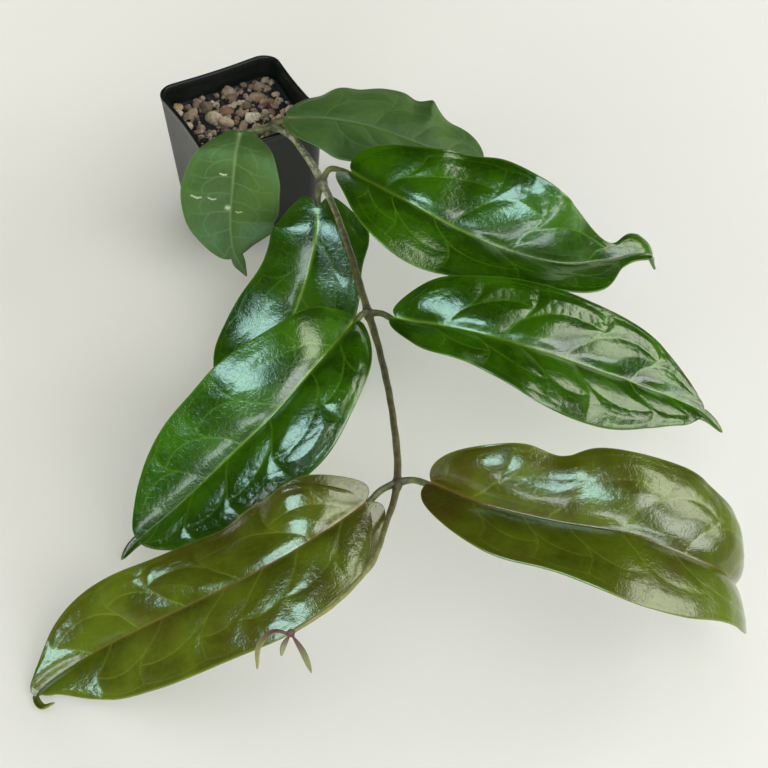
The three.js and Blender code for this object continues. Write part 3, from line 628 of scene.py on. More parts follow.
def read_along(table, share):
    """A table of directions at equal shares, read off in between."""
    place = np.clip(share, 0, 1) * (len(table) - 1)
    low = np.minimum(np.floor(place).astype(int), len(table) - 2)
    part = (place - low)[..., None]
    return table[low] * (1 - part) + table[low + 1] * part


def ring_faces(rings, count, first=0):
    """Quads between rings of count points, and the two fans that close the ends. The fans' middles are
    the two points after the last ring."""
    level, step = np.meshgrid(np.arange(rings - 1), np.arange(count), indexing="ij")
    here = first + level * count + step
    beside = first + level * count + (step + 1) % count
    quads = np.stack([here, beside, beside + count, here + count], -1).reshape(-1, 4)
    step = np.arange(count)
    ahead = (step + 1) % count
    last = first + (rings - 1) * count
    low, high = first + rings * count, first + rings * count + 1
    near = np.stack([np.full(count, low), first + ahead, first + step], -1)
    far = np.stack([np.full(count, high), last + step, last + ahead], -1)
    return quads.tolist() + near.tolist() + far.tolist()


def ring_points(grid):
    """Rings as one list of points, with the middle of the first and of the last ring after them."""
    return np.vstack([grid.reshape(-1, 3), grid[0].mean(0), grid[-1].mean(0)])


def ring_values(values):
    """A value at each ring point, with the mean of the first and of the last ring after them."""
    return np.concatenate([values.reshape(-1), [values[0].mean(), values[-1].mean()]])


def make_piece(name, points, faces, material, node, attributes=None, smooth=True):
    """A mesh piece from points in millimetres, which stands for a node of the solid model."""
    mesh = bpy.data.meshes.new(name)
    mesh.from_pydata((np.asarray(points) * MM).tolist(), [], faces)
    for key, values in (attributes or {}).items():
        kind = "FLOAT_COLOR" if values.ndim == 2 else "FLOAT"
        layer = mesh.attributes.new(key, kind, "POINT")
        layer.data.foreach_set("color" if values.ndim == 2 else "value",
                               values.astype(np.float32).ravel())
    mesh.polygons.foreach_set("use_smooth", [smooth] * len(mesh.polygons))
    mesh.materials.append(material)
    mesh.validate()
    mesh.update()
    piece = bpy.data.objects.new(name, mesh)
    bpy.context.scene.collection.objects.link(piece)
    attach(piece, "root")
    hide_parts(node)
    return piece


# ------------------------------------------------------------------ blades

def eased(stations, share):
    """Stations at equal steps, read off at shares from 0 to 1 and eased from one to the next."""
    stations = np.array(stations, float)
    place = np.clip(share, 0, 1) * (len(stations) - 1)
    low = np.minimum(np.floor(place).astype(int), len(stations) - 2)
    part = place - low
    return stations[low] + (stations[low + 1] - stations[low]) * part * part * (3 - 2 * part)


def margin(leaf, length, along, side):
    """Where the margin lies at a share along the midrib, and its distance from the midrib. The width is
    a skewed sine arch to the power full plus a slender tail, with the bays and bulges of each side; the
    foot is swept back into a lobe."""
    arch = np.where(along < leaf["body"],
                    np.sin(np.pi * np.minimum(along / leaf["body"], 1) ** leaf["skew"]), 0)
    tail = leaf["tail"] * (1 - along) ** 0.6 * along
    sweep = np.sqrt(along / LOBE_PLACE)
    place = length * along - leaf["lobe"] * sweep * np.exp(1 - sweep)
    width = leaf["half"] * np.maximum(arch, 0) ** leaf["full"] + tail
    for bay_side, bay_place, reach, widen in leaf["bays"]:
        swell = widen * np.exp(-((along - bay_place) / reach) ** 2)
        width = width + np.where(side == bay_side, swell, 0)
    return place, np.maximum(width, 0)


def blade_surface(leaf, along, column):
    """Points and normals of a blade's middle surface over a grid: along runs from foot to tip, column
    from -1 at the left margin to 1 at the right. A point lies across the midrib by its share of the
    width, lifted with its half, less the camber, and raised by the waves of the margin."""
    curve = Curve(leaf["rib"])
    rib = np.array(leaf["rib"], float)
    start = np.cross(rib[-1] - rib[0], (0, 0, 1))
    spreads = carried(curve, start, FRAME_STEPS)
    out = np.abs(column)
    side = np.where(column < 0, -1.0, 1.0)
    edge_place, width = margin(leaf, curve.length, along, side)
    place = along * curve.length * (1 - out) + edge_place * out
    share = np.clip(place / curve.length, 0, 1)
    across = width * out

    point, tangent = curve.at(share)
    spread = unit(without(read_along(spreads, share), tangent))
    up = np.cross(spread, tangent)
    lift = np.radians(np.where(side < 0, eased(leaf["lift"][0], share), eased(leaf["lift"][1], share)))
    angle = lift - CAMBER * out / 2
    height = across * np.sin(angle)
    for wave_side, wave_place, reach, rise in leaf["waves"]:
        swell = rise * out ** 2 * np.exp(-((share - wave_place) / reach) ** 2)
        height = height + np.where(side == wave_side, swell, 0)
    point = point + tangent * (place - share * curve.length)[..., None]
    point = point + spread * (side * across * np.cos(angle))[..., None] + up * height[..., None]
    slope = (lift - CAMBER * out) * np.minimum(1, across / FLAT_WIDTH)
    normal = up * np.cos(slope)[..., None] - spread * (side * np.sin(slope))[..., None]
    return point, normal, share, place, across, side


def vein_paths(leaf, side, draw):
    """The side veins of one half blade, as paths of (share, out). Each leaves the midrib, leans
    forward by a power of its way out and forks: one branch runs on to the margin, and one loops forward
    to the next vein's branch. A last loop joins the branches near the margin."""
    lean = leaf["lean"]
    mains, branches, loops = [], [], []
    for start in leaf["veins"][0 if side < 0 else 1]:
        fork_out = FORK_OUT + FORK_VARY * (draw.random() - 0.5)
        out = np.linspace(0, fork_out, 6)
        share = start + lean * out ** 1.2 + 0.006 * np.sin(9 * out + 6 * draw.random())
        mains.append(np.stack([share, out], -1))
    for share, fork_out in [path[-1] for path in mains]:
        out = np.linspace(fork_out, BRANCH_OUT, 6)
        bend = 0.35 * lean * (out - fork_out) + 0.012 * np.sin(7 * (out - fork_out))
        branches.append(np.stack([share + bend, out], -1))
    mains += branches
    step = np.linspace(0, 1, 7)
    arch = np.sin(np.pi * step)
    for here, ahead in zip(branches[:-1], branches[1:]):
        mains.append(between(here[0], ahead[2], step, CELL_ARCH * np.clip(arch, 0, 1) ** 0.8))
        loops.append(between(here[-1], (ahead[-1][0], here[-1][1]), step, LOOP_ARCH * arch))
    return mains, loops


def between(start, end, step, arch):
    """A path of (share, out) straight from start to end, bowed out by an arch."""
    share = start[0] + (end[0] - start[0]) * step
    return np.stack([share, start[1] + (end[1] - start[1]) * step + arch], -1)


def distance_to(paths, x, y):
    """Distance from grid points (x along the midrib, y out from it) to the nearest of the paths."""
    nearest = np.full(x.shape, FAR)
    for px, py in paths:
        for ax, ay, bx, by in zip(px[:-1], py[:-1], px[1:], py[1:]):
            dx, dy = bx - ax, by - ay
            t = np.clip(((x - ax) * dx + (y - ay) * dy) / (dx * dx + dy * dy + 1e-9), 0, 1)
            nearest = np.minimum(nearest, np.hypot(x - ax - t * dx, y - ay - t * dy))
    return nearest


def vein_distances(leaf, length, place, across, side, draw):
    """Distances in millimetres to the nearest main side vein and to the nearest loop."""
    main = np.full(place.shape, FAR)
    loop = main.copy()
    for half in (-1, 1):
        here = side == half
        for paths, nearest in zip(vein_paths(leaf, half, draw), (main, loop)):
            flat = [(path[:, 0] * length,
                     path[:, 1] * margin(leaf, length, np.clip(path[:, 0], 0, 1), half)[1])
                    for path in paths]
            nearest[here] = distance_to(flat, place[here], across[here])
    return main, loop


def small_cells(x, y, size, draw):
    """How far each point lies from the border of its cell, where the cells are the nearest-point
    regions of one random point in each square of a grid."""
    jitter = draw.random((CELL_TURNS, CELL_TURNS, 2))
    column, row = np.floor(x / size).astype(int), np.floor(y / size).astype(int)
    nearest = np.full(x.shape, FAR)
    second = nearest.copy()
    for step_x in (-1, 0, 1):
        for step_y in (-1, 0, 1):
            spot = jitter[(column + step_x) % CELL_TURNS, (row + step_y) % CELL_TURNS]
            away = np.hypot((column + step_x + spot[..., 0]) * size - x,
                            (row + step_y + spot[..., 1]) * size - y)
            second = np.minimum(second, np.maximum(away, nearest))
            nearest = np.minimum(nearest, away)
    return (second - nearest) / 2


def sway(place, across, side, draw):
    """A sum of low sine waves in seeded directions and lengths."""
    height = 0
    for count in range(SWAY_COUNT):
        turn = draw.random() * 2 * np.pi
        wave = 2 * np.pi / (SWAY_SHORT + SWAY_MORE * draw.random())
        phase = draw.random() * 2 * np.pi + side * count
        height = height + SWAY_RISE * np.sin(
            wave * (place * np.cos(turn) + across * np.sin(turn)) + phase)
    return height


def blade_veins(leaf, length, place, across, share, side, seed):
    """Relief of the upper face in millimetres, and how much each point belongs to a vein.

    The blade swells by one less an exponential of the distance from the side veins and creases along
    them. Small cushions between the finest veins rise in the same way, most towards the margin, and
    low waves sway them. All this, times the leaf's quilt, fades out at the margin, the foot and the
    tip. Then each half rises as a whole by a sine arch, its dome, and sinks along the midrib by an
    exponential, the trough. A vein's line is a Gaussian of the distance from it."""
    draw = np.random.default_rng(seed)
    main, loop = vein_distances(leaf, length, place, across, side, draw)
    border = small_cells(place, across * side, CELL, draw)
    out = across / np.maximum(margin(leaf, length, share, side)[1], 1e-6)
    ends = np.clip(share / FADE_FOOT, 0, 1) * np.clip((1 - share) / FADE_TIP, 0, 1)
    fade = np.clip((1 - out) / FADE_MARGIN, 0, 1) ** 0.7 * ends

    crease = np.minimum(main, loop + LOOP_STANDOFF)
    puff = 1 - np.exp(-(np.sqrt(crease ** 2 + CREASE ** 2) - CREASE) / QUILT_REACH)
    near_rib = 1 - np.exp(-(across / RIB_CALM) ** 2)
    outer = np.clip((out - 0.3) / 0.35, 0, 1) * (0.5 + 0.5 * share)
    cushions = CELL_RISE * (1 - np.exp(-border / CELL_REACH)) * (0.25 + outer)
    rise = (QUILT * puff * near_rib + cushions + sway(place, across, side, draw)) * fade
    rise = rise * np.where(side < 0, *leaf["quilt"])
    rise = rise + np.where(side < 0, *leaf["dome"]) * np.sin(np.pi * np.clip(out, 0, 1)) * ends
    depth, reach = leaf["trough"]
    rise = rise - depth * np.exp(-across / reach) * ends * np.clip((1 - out) / 0.2, 0, 1)

    lines = np.maximum(np.exp(-(main / MAIN_LINE) ** 2) * (1 - 0.5 * out),
                       LOOP_PALE * np.exp(-(loop / LOOP_LINE) ** 2))
    lines = np.maximum(lines, CELL_PALE * np.exp(-(border / CELL_LINE) ** 2))
    return rise, lines * np.clip((1 - out) / 0.1, 0, 1)


def blade_piece(name, leaf, material, seed):
    """A closed blade: for each row a ring that runs over the upper face from margin to margin and back
    under the lower face, with both ends drawn to a point. The blade is a constant thickness with a
    quarter-round margin, thickened under the midrib and grooved over it by Gaussians, and it follows
    the relief of its veins on both faces."""
    length = Curve(leaf["rib"]).length
    step = np.arange(1, BLADE_ROWS) / BLADE_ROWS
    rows = (1 - np.cos(np.pi * step)) / 2 * (1 - EVEN_ROWS) + step * EVEN_ROWS
    top = np.linspace(-1, 1, TOP_COLUMNS)
    under = np.linspace(1, -1, UNDER_COLUMNS)[1:-1]
    column = np.concatenate([top, under])
    column = np.sign(column) * (1 - (1 - np.abs(column)) ** COLUMN_CROWD)
    upper = np.concatenate([np.ones(len(top)), np.zeros(len(under))])
    along, column = np.meshgrid(rows, column, indexing="ij")
    upper = np.broadcast_to(upper, along.shape)

    point, normal, share, place, across, side = blade_surface(leaf, along, column)
    rise, lines = blade_veins(leaf, length, place, across, share, side, seed)
    out = np.abs(column)
    past = np.clip((out - ROUND_MARGIN) / (1 - ROUND_MARGIN), 0, 1)
    half = BLADE_THICKNESS / 2 * np.sqrt(np.clip(1 - past ** 2, 0, 1))
    rib_size = 1 - RIB_TAPER * share
    ends = np.clip(share / 0.02, 0, 1) * np.clip((1 - share) / 0.02, 0, 1)
    over = half - GROOVE_DEPTH * np.exp(-(across / GROOVE_REACH) ** 2) * rib_size * ends
    below = half + RIB_DEPTH * (1 - share) * np.exp(-(across / RIB_REACH) ** 2) * ends
    grid = point + normal * (np.where(upper > 0, over, -below) + rise)[..., None]

    points = ring_points(grid)
    points[-2:] = blade_surface(leaf, np.array([0.0, 1.0]), np.zeros(2))[0]
    edge = np.clip((out - 0.955) / 0.03, 0, 1)
    attributes = {
        "vein": ring_values(lines),
        "rib": ring_values(np.exp(-(across / (0.9 * rib_size)) ** 2) * (1 - 0.6 * share)),
        "edge": ring_values(edge),
        "under": ring_values((1 - upper) * (1 - edge)),
        "along": ring_values(share),
    }
    if leaf["scars"]:
        attributes["scar"] = ring_values(scar_marks(leaf, length, place, across, side) * upper)
    return make_piece(name + "_blade", points, ring_faces(*grid.shape[:2]), material, name,
                      attributes)


def scar_marks(leaf, length, place, across, side):
    """Short pale scratches of the old leaf: each is a thin dash across the blade, broken in places."""
    marks = np.zeros(place.shape)
    for scar_side, share, out, size, thick in leaf["scars"]:
        x = share * length
        y = out * margin(leaf, length, share, scar_side)[1]
        dash = ((x, x + 0.12 * size, x - 0.05 * size), (y, y + 0.4 * size, y + size))
        near = distance_to([dash], place, across)
        broken = 0.65 + 0.35 * np.sin(5 * across) * np.sin(4 * place + across)
        marks = np.maximum(marks, np.exp(-(near / thick) ** 2) * broken * (side == scar_side))
    return marks


# ------------------------------------------------------------------ stem

def tube(curve, radius, sides, count, start=(0, 0, 1)):
    """Rings round a curve, whose radius is a function of the share along it and the angle round it;
    the direction that the angle counts from is carried along without twist."""
    shares = np.linspace(0, 1, count)
    centre, tangent = curve.at(shares)
    first = unit(without(read_along(carried(curve, start, count * 2), shares), tangent))
    second = np.cross(tangent, first)
    angle = np.linspace(0, 2 * np.pi, sides, endpoint=False)
    outward = (first[:, None] * np.cos(angle)[None, :, None]
               + second[:, None] * np.sin(angle)[None, :, None])
    return centre[:, None] + outward * radius(shares[:, None], angle[None, :])[..., None]


def stem_piece(material):
    """Vine and leaf stalks as one piece. The vine's radius is read off along it, swells at the nodes by
    a Gaussian, and carries fine ridges and low lumps, which are sines of the angle and the length."""
    vine = Curve([at for at, _ in VINE])
    radii = [size for _, size in VINE]
    node_shares = [vine.shares[np.searchsorted(vine.steps, index)]
                   for index, (at, _) in enumerate(VINE) if at in NODE.values()]

    def near_node(share):
        gaps = [np.abs(share - place) * vine.length / KNUCKLE_REACH for place in node_shares]
        return np.exp(-np.min(gaps, axis=0) ** 2)

    def vine_radius(share, angle):
        ridges = 0.045 * np.sin(7 * angle + 3 * np.sin(25 * share))
        ridges = ridges + 0.03 * np.sin(13 * angle + 40 * share)
        lumps = 0.05 * np.sin(vine.length * share / 2.1 + 2 * np.sin(angle))
        swell = KNUCKLE_SWELL * near_node(share) * (1 + 0.12 * np.sin(5 * angle))
        return vine.value(radii, share) * (1 + ridges + lumps) + swell

    def shares(grid):
        return np.repeat(np.linspace(0, 1, grid.shape[0])[:, None], grid.shape[1], 1)

    grid = tube(vine, vine_radius, VINE_SIDES, VINE_RINGS)
    points = [ring_points(grid)]
    faces = ring_faces(*grid.shape[:2])
    age, knuckle = [ring_values(shares(grid))], [ring_values(near_node(shares(grid)))]
    stalk = [np.zeros(len(points[0]))]
    for leaf in LEAVES.values():
        grid = stalk_rings(leaf)
        faces += ring_faces(*grid.shape[:2], first=sum(len(p) for p in points))
        points.append(ring_points(grid))
        share = shares(grid)
        age.append(np.full(len(points[-1]), STALK_MIDDLE_AGE))
        stalk.append(ring_values(np.clip(share / 0.15, 0, 1)))
        knuckle.append(ring_values(np.maximum(1 - share / 0.3, (share - 0.9) / 0.1).clip(0, 1)))
    attributes = {"age": np.concatenate(age), "knuckle": np.concatenate(knuckle),
                  "stalk": np.concatenate(stalk)}
    return make_piece("vine_and_stalks", np.vstack(points), faces, material, "stem", attributes)


def stalk_rings(leaf):
    """A leaf stalk from its node to just under the foot of its blade. It flares at the node by an
    exponential and tapers under the blade by a square."""
    rib = np.array(leaf["rib"], float)
    curve = Curve(leaf["rib"])
    tangent = curve.at(np.array([0.0]))[1][0]
    spread = unit(without(np.cross(rib[-1] - rib[0], (0, 0, 1)), tangent))
    up = np.cross(spread, tangent)
    onto = rib[0] + tangent * STALK_END - up * STALK_END_BELOW
    under = rib[0] - up * STALK_BEND_BELOW - tangent * STALK_BEND
    route = Curve([NODE[leaf["node"]], *leaf["knees"], under, onto])

    def radius(share, angle):
        flare = STALK_FLARE * np.exp(-share * route.length / 2.5)
        taper = 1 - 0.55 * np.clip((share - 0.82) / 0.18, 0, 1) ** 2
        grain = 1 + 0.03 * np.sin(8 * angle + 2 * share) + 0.03 * np.sin(route.length * share / 1.3)
        return (STALK_RADIUS + flare) * taper * grain

    return tube(route, radius, STALK_SIDES, STALK_RINGS)


# ------------------------------------------------------------------ pot

def square_ring(side, corner, z):
    """A rounded square at a height: four arcs, and between them walls that lean in by a sine arch."""
    reach = side / 2 - corner
    step = np.arange(1, WALL_STEPS) / WALL_STEPS
    along = reach * (1 - 2 * step)
    out = side / 2 - POT_BOW * np.sin(np.pi * step)
    ring = []
    for start in np.arange(4) * np.pi / 2:
        angle = start + np.pi / 2 * np.arange(CORNER_STEPS + 1) / CORNER_STEPS
        centre = reach * math.sqrt(2) * np.array([np.cos(start + np.pi / 4), np.sin(start + np.pi / 4)])
        ring.append(centre + corner * np.column_stack([np.cos(angle), np.sin(angle)]))
        cos, sin = np.cos(start + np.pi / 2), np.sin(start + np.pi / 2)
        ring.append(np.column_stack([out * cos + along * sin, out * sin - along * cos]))
    flat = np.vstack(ring) @ POT_AXES
    return np.column_stack([flat, np.full(len(flat), z)])


def pot_ring(z, wall):
    """The pot's outline at a height, in from its outside by a wall."""
    share = z / POT_HEIGHT
    side = POT_BASE + (POT_TOP - POT_BASE) * share
    corner = POT_BASE_CORNER + (POT_TOP_CORNER - POT_BASE_CORNER) * share
    return square_ring(side - 2 * wall, corner - wall, z)


def pot_section():
    """The pot's section as (height, distance in from the outside): floor, rounded foot, wall, lip band
    with its rounded rim, and back down the inner wall to the floor."""
    def arc(z, wall, radius, start, end):
        angle = np.radians(np.linspace(start, end, 5))
        return [(z + radius * math.sin(a), wall - radius * math.cos(a)) for a in angle]

    lip_foot = POT_HEIGHT - POT_LIP_HEIGHT
    section = [(0, POT_FLOOR_EDGE), (0, 1.2), *arc(POT_FOOT, POT_FOOT, POT_FOOT, -80, -5)]
    section += [(z, 0) for z in np.linspace(2.5, POT_HEIGHT - 4, 14)]
    section += [(lip_foot - 0.6, 0), (lip_foot - 0.3, -0.02), (lip_foot, -POT_LIP_PROUD),
                (POT_HEIGHT - 0.7, -POT_LIP_PROUD)]
    section += arc(POT_HEIGHT - POT_EDGE, POT_EDGE - POT_LIP_PROUD, POT_EDGE, 0, 90)
    section += [(POT_HEIGHT, POT_LIP - POT_EDGE)]
    section += [(POT_HEIGHT - POT_EDGE * (1 - math.cos(a)), POT_LIP - POT_EDGE * (1 - math.sin(a)))
                for a in np.radians([30, 60, 90])]
    section += [(lip_foot, POT_LIP), (lip_foot - 1, POT_WALL)]
    section += [(z, POT_WALL) for z in np.linspace(lip_foot - 4, POT_FLOOR + 2, 12)]
    return section + [(POT_FLOOR + 0.5, POT_WALL + 0.2), (POT_FLOOR, POT_WALL + 1),
                      (POT_FLOOR, POT_FLOOR_EDGE)]


def pot_piece(material):
    """The pot's section carried round the rounded square, with four drainage holes through its floor."""
    grid = np.array([pot_ring(z, wall) for z, wall in pot_section()])
    pot = make_piece("nursery_pot", ring_points(grid), ring_faces(*grid.shape[:2]), material, "pot")
    for x in (-1, 1):
        for y in (-1, 1):
            cut_hole(pot, x * DRAIN_OFFSET, y * DRAIN_OFFSET)
    return pot


def cut_hole(pot, x, y):
    """A round hole through the floor, by a boolean with a cylinder that is then removed."""
    angle = np.linspace(0, 2 * np.pi, DRAIN_SIDES, endpoint=False)
    circle = np.column_stack([np.cos(angle), np.sin(angle), np.zeros(DRAIN_SIDES)]) * DRAIN_RADIUS
    middle = np.array([x, y]) @ POT_AXES
    grid = np.array([circle + (*middle, z) for z in (-2.0, 2 * POT_FLOOR)])
    mesh = bpy.data.meshes.new("drain")
    mesh.from_pydata((ring_points(grid) * MM).tolist(), [], ring_faces(2, DRAIN_SIDES))
    cutter = bpy.data.objects.new("drain", mesh)
    bpy.context.scene.collection.objects.link(cutter)
    cut = pot.modifiers.new("drain", "BOOLEAN")
    cut.operation = "DIFFERENCE"
    cut.solver = "EXACT"
    cut.object = cutter
    with bpy.context.temp_override(object=pot, active_object=pot, selected_objects=[pot]):
        bpy.ops.object.modifier_apply(modifier=cut.name)
    bpy.data.objects.remove(cutter)


# ------------------------------------------------------------------ potting mix

def mix_stream(seed):
    """The same repeatable stream of numbers that places the stones of the solid model."""
    state = seed
    while True:
        state = (state + 0x6D2B79F5) & 0xFFFFFFFF
        mixed = ((state ^ (state >> 15)) * (1 | state)) & 0xFFFFFFFF
        mixed = ((mixed + (((mixed ^ (mixed >> 7)) * (61 | mixed)) & 0xFFFFFFFF)) ^ mixed) & 0xFFFFFFFF
        yield ((mixed ^ (mixed >> 14)) & 0xFFFFFFFF) / 4294967296


def mix_reach(margin_width):
    """Half the side of the mix's square top, less a margin."""
    share = MIX_LEVEL / POT_HEIGHT
    return (POT_BASE + (POT_TOP - POT_BASE) * share) / 2 - POT_WALL - margin_width


def stone_spots():
    """The solid model's stones: place, size, length and width factors, tilt and turn."""
    numbers = mix_stream(MIX_SEED)

    def around(middle, reach):
        return middle + reach * (2 * next(numbers) - 1)

    inner = mix_reach(STONE_LARGE)
    spots = []
    for _ in range(STONE_COUNT):
        size = STONE_SMALL + (STONE_LARGE - STONE_SMALL) * next(numbers) ** 2
        tries = [(around(0, inner), around(0, inner)) for _ in range(STONE_TRIES)]
        lonely = [min([FAR] + [math.hypot(s[0] - x, s[1] - y) - s[2] for s in spots]) for x, y in tries]
        spots.append((*tries[lonely.index(max(lonely))], size))
    return [(x, y, size, around(1, STONE_UNEVEN), around(1, STONE_UNEVEN), around(0, STONE_TILT),
             around(0, math.pi)) for x, y, size in spots]


def sphere_net(level):
    """Unit directions and triangles of a subdivided icosahedron."""
    sphere = bpy.data.meshes.new("net")
    net = bmesh.new()
    bmesh.ops.create_icosphere(net, subdivisions=level, radius=1)
    net.to_mesh(sphere)
    net.free()
    points = np.empty(len(sphere.vertices) * 3, np.float32)
    faces = np.empty(len(sphere.loops), np.int32)
    sphere.vertices.foreach_get("co", points)
    sphere.loops.foreach_get("vertex_index", faces)
    bpy.data.meshes.remove(sphere)
    return unit(points.reshape(-1, 3).astype(float)), faces.reshape(-1, 3)


def stone_shape(directions, draw):
    """A worn broken stone: the soft minimum of a few random planes, with a little unevenness."""
    planes = unit(draw.normal(size=(STONE_PLANES, 3)))
    depth = draw.uniform(*STONE_DEPTH, STONE_PLANES)
    towards = np.maximum(directions @ planes.T / depth, 0)
    radius = ((towards ** STONE_SHARP).sum(-1) + 0.35) ** (-1 / STONE_SHARP)
    bumps = 0.04 * np.sin(directions @ draw.normal(size=(3, 4)) * 4 + draw.random(4) * 6).sum(-1)
    return directions * (np.minimum(radius, 1.12) + bumps)[:, None]


def grit_piece(material):
    """The stones of the solid model at their places, each worn and faceted, with finer grit between."""
    draw = np.random.default_rng(MIX_SEED)
    large, small = sphere_net(3), sphere_net(2)
    chances = np.array([chance for _, chance in STONE_TONES], float)
    stones = [(spot, large) for spot in stone_spots()]
    inner = mix_reach(GRIT_MARGIN)
    for _ in range(GRIT_COUNT):
        x, y = draw.uniform(-inner, inner, 2)
        size = draw.uniform(GRIT_SMALL, GRIT_LARGE)
        stones.append(((x, y, size, 1.1, 0.9, draw.uniform(-1, 1), draw.uniform(0, 6)), small))
    points, faces, tones = [], [], []
    total = 0
    for (x, y, size, long, wide, tilt, turn), (directions, cells) in stones:
        shape = stone_shape(directions, draw) * size * STONE_WORN * np.array([long, wide, STONE_FLAT])
        placed = turned(shape, tilt, turn) + (x, y, MIX_LEVEL + STONE_PROUD * size + CLEARANCE)
        points.append(turned(placed, 0, POT_TURN))
        faces += (cells + total).tolist()
        total += len(placed)
        tone = np.array(STONE_TONES[draw.choice(len(chances), p=chances / chances.sum())][0])
        tone = tone * draw.uniform(*STONE_SHADE)
        tones.append(np.tile([*tone, 1.0], (len(placed), 1)))
    return make_piece("grit_stones", np.vstack(points), faces, material, "potting_mix",
                      {"tone": np.vstack(tones)})


def bed_piece(material):
    """The bark bed that fills the pot: a plug whose rough top is two products of sines. Its near-black
    top is partly dark bark and partly painted shade of the gaps between the stones.
    """
    gap = POT_WALL + CLEARANCE
    foot = POT_FLOOR + CLEARANCE
    rings = [pot_ring(z, wall) for z, wall in ((foot, gap + POT_FLOOR_EDGE), (foot, gap),
                                               (BED_WAIST, gap), (MIX_LEVEL - 1, gap))]
    edge = pot_ring(MIX_LEVEL, gap)
    for share in np.linspace(1, 0.02, BED_RINGS):
        ring = edge * (share, share, 1)
        x, y = ring[:, 0], ring[:, 1]
        rough = (0.5 * np.sin(0.9 * x + 1.3 * np.sin(0.7 * y)) * np.sin(1.1 * y + np.sin(0.8 * x))
                 + 0.35 * np.sin(2.3 * x + 1.7 * y) * np.sin(2.9 * y - 1.1 * x))
        ring[:, 2] += rough * min(1, (1 - share) * 8)
        rings.append(ring)
    grid = np.array(rings)
    return make_piece("bark_and_shade_bed", ring_points(grid), ring_faces(*grid.shape[:2]), material,
                      "potting_mix")


def chip_piece(material):
    """Loose chips of black bark between the stones: small splinters, boxes with uneven corners, at seeded
    places.
    """
    draw = np.random.default_rng(MIX_SEED + 1)
    corner = np.array([(x, y, z) for z in (-1, 1) for x, y in ((-1, -1), (1, -1), (1, 1), (-1, 1))])
    box = np.array([(0, 3, 2, 1), (4, 5, 6, 7), (0, 1, 5, 4), (1, 2, 6, 5), (2, 3, 7, 6), (3, 0, 4, 7)])
    inner = mix_reach(CHIP_MARGIN)
    points, faces = [], []
    for index in range(CHIP_COUNT):
        half = draw.uniform(0.5, 1.0, 3) * CHIP_HALF * draw.uniform(0.6, 1.2)
        chip = corner * half * draw.uniform(0.7, 1.0, (8, 3))
        matrix = Matrix.Rotation(draw.uniform(-0.7, 0.7), 3, "Y") @ Matrix.Rotation(
            draw.uniform(-0.6, 0.6), 3, "X")
        chip = chip @ np.array(matrix).T
        x, y = draw.uniform(-inner, inner, 2)
        placed = turned(chip, 0, draw.uniform(0, 6.3)) + (x, y, MIX_LEVEL + draw.uniform(-0.3, 1.1))
        points.append(turned(placed, 0, POT_TURN))
        faces += (box + 8 * index).tolist()
    return make_piece("bark_chips", np.vstack(points), faces, material, "potting_mix",
                      smooth=False)


# ------------------------------------------------------------------ growing tip

def tip_piece(material):
    """The bud past the vine's end, a ball made uneven by sines, with its small narrow leaves."""
    before, end = (np.array(at, float) for at, _ in VINE[-2:])
    centre = end + unit(end - before) * (BUD_RADIUS + CLEARANCE)
    directions, cells = sphere_net(3)
    bud = directions * BUD_RADIUS * (1 + 0.08 * np.sin(5 * directions[:, :1] + 3 * directions[:, 1:2]))
    points, faces = [bud], cells.tolist()
    along = [np.zeros(len(bud))]
    for rib, half in TIP_LEAVES:
        grid, share = small_blade(TIP_LEAF | dict(rib=rib, half=half))
        faces += ring_faces(*grid.shape[:2], first=sum(len(p) for p in points))
        points.append(ring_points(grid))
        along.append(ring_values(share))
    return make_piece("tip_leaves", np.vstack(points) + centre, faces, material, "growing_tip",
                      {"along": np.concatenate(along)})


def small_blade(leaf):
    """Rings of a small blade without veins: its half thickness falls off to the margin by the root of
    one less a fourth power, and swells along the midrib by a Gaussian."""
    rows = np.linspace(0.01, 0.99, TIP_ROWS)
    top = np.linspace(-1, 1, TIP_COLUMNS)
    column = np.concatenate([top, top[::-1][1:-1]])
    face = np.where(np.arange(len(column)) < TIP_COLUMNS, 1, -1)
    along, column = np.meshgrid(rows, column, indexing="ij")
    point, normal, share, _, across, _ = blade_surface(leaf, along, column)
    half = TIP_THICKNESS * np.sqrt(np.clip(1 - np.abs(column) ** 4, 0, 1))
    half = half + TIP_RIB * np.exp(-(across / TIP_RIB_REACH) ** 2) * (1 - share)
    return point + normal * (half * face)[..., None], share


# ------------------------------------------------------------------ stage

def build_stage():
    """A plain pale floor under the plant."""
    mesh = bpy.data.meshes.new("floor")
    corners = ((-1, -1), (1, -1), (1, 1), (-1, 1))
    mesh.from_pydata([(x * FLOOR_REACH, y * FLOOR_REACH, -FLOOR_DROP) for x, y in corners], [],
                     [(0, 1, 2, 3)])
    floor = bpy.data.objects.new("floor", mesh)
    bpy.context.scene.collection.objects.link(floor)
    paint = Finish("floor", Roughness=0.6)
    grain = paint.noise(9, 4, 0.5, (0.25, 1, 1))
    mesh.materials.append(paint.paint(
        Base_Color=paint.blend(grain * 0.5, (0.76, 0.77, 0.75), (0.72, 0.73, 0.70))))


def soft_light(name, place, aim, size, power, colour, mirrored):
    """A rectangular soft light that faces a point; place, aim and size are in metres. It either shows
    in the gloss of surfaces or lights them."""
    lamp = bpy.data.lights.new(name, "AREA")
    lamp.shape = "RECTANGLE"
    lamp.size, lamp.size_y = size
    lamp.energy = power
    lamp.color = colour
    light = bpy.data.objects.new(name, lamp)
    light.location = place
    light.rotation_euler = (Vector(aim) - Vector(place)).to_track_quat("-Z", "Y").to_euler()
    light.visible_camera = False
    light.visible_glossy = mirrored
    light.visible_diffuse = not mirrored
    bpy.context.scene.collection.objects.link(light)


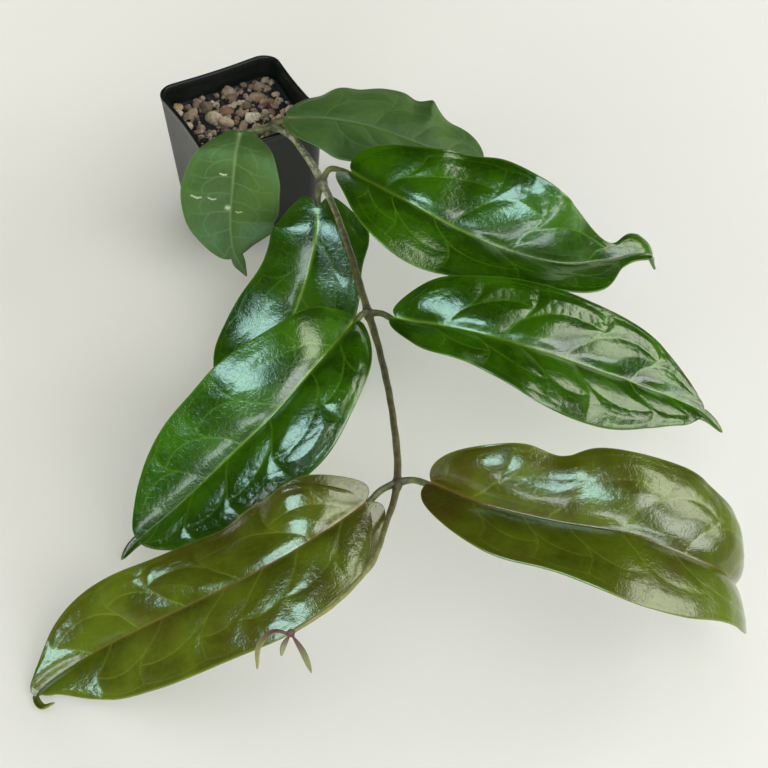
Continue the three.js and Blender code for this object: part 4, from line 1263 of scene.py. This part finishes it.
def build_lights():
    """Soft light from a window at the front right, from overhead and from four pale walls; and the panes
    of that window, high above, which only show in the gloss of the leaves."""
    for name, (x, y), size, power, colour in PANES:
        soft_light(name, (x, y, PANE_HEIGHT), (x, y + 0.1, 0), size, power, colour, mirrored=True)
    for name, place, size, power, colour in LAMPS:
        soft_light(name, place, LAMPS_AIM, size, power, colour, mirrored=False)
    for name, (x, y), power, colour in WALLS:
        soft_light(name + "_wall", (x, y, WALL_HEIGHT), (x / 9, y / 9, 0.05), WALL_SIZE, power, colour,
                   mirrored=False)


def build_surround():
    """A faint pale surround that is dark above the horizon."""
    world = bpy.data.worlds.new("surround")
    bpy.context.scene.world = world
    world.use_nodes = True
    nodes, links = world.node_tree.nodes, world.node_tree.links
    towards = nodes.new("ShaderNodeTexCoord")
    split = nodes.new("ShaderNodeSeparateXYZ")
    band = nodes.new("ShaderNodeMapRange")
    band.interpolation_type = "SMOOTHSTEP"
    limits = zip(("From Min", "From Max", "To Min", "To Max"), SURROUND_BAND + SURROUND_STRENGTH)
    for socket, value in limits:
        band.inputs[socket].default_value = value
    links.new(towards.outputs["Generated"], split.inputs[0])
    links.new(split.outputs["Z"], band.inputs["Value"])
    background = nodes["Background"]
    background.inputs["Color"].default_value = SURROUND_COLOUR
    links.new(band.outputs[0], background.inputs["Strength"])
    bpy.context.scene.view_settings.view_transform = "Standard"


def build_camera():
    """The photograph's viewing place, angle and roll."""
    lens = bpy.data.cameras.new("camera")
    lens.lens = CAMERA_LENS
    lens.sensor_width = CAMERA_SENSOR
    lens.clip_start = 0.05
    lens.clip_end = 20
    camera = bpy.data.objects.new("camera", lens)
    turn = Matrix.Rotation(math.pi / 2 - CAMERA_DOWN, 4, "X") @ Matrix.Rotation(-CAMERA_ROLL, 4, "Z")
    camera.matrix_world = Matrix.Translation(Vector(CAMERA_PLACE) * MM) @ turn
    bpy.context.scene.collection.objects.link(camera)
    bpy.context.scene.camera = camera


# ------------------------------------------------------------------ the object

def build_plant():
    """Every piece of the plant and its pot."""
    finishes = {name: leaf_finish(name, **look) for name, look in LEAF_LOOKS.items()}
    for seed, (name, leaf) in enumerate(LEAVES.items()):
        blade_piece(name, leaf, finishes[leaf["finish"]], seed + 1)
    stem_piece(stem_finish())
    pot_piece(pot_finish())
    # The bed's near-black finish is partly dark bark and partly painted shade between the stones.
    bark = bark_and_shade_finish()
    bed_piece(bark)
    chip_piece(bark)
    grit_piece(stone_finish())
    tip_piece(tip_finish())


build_camera()
build_stage()
build_lights()
build_surround()
build_plant()
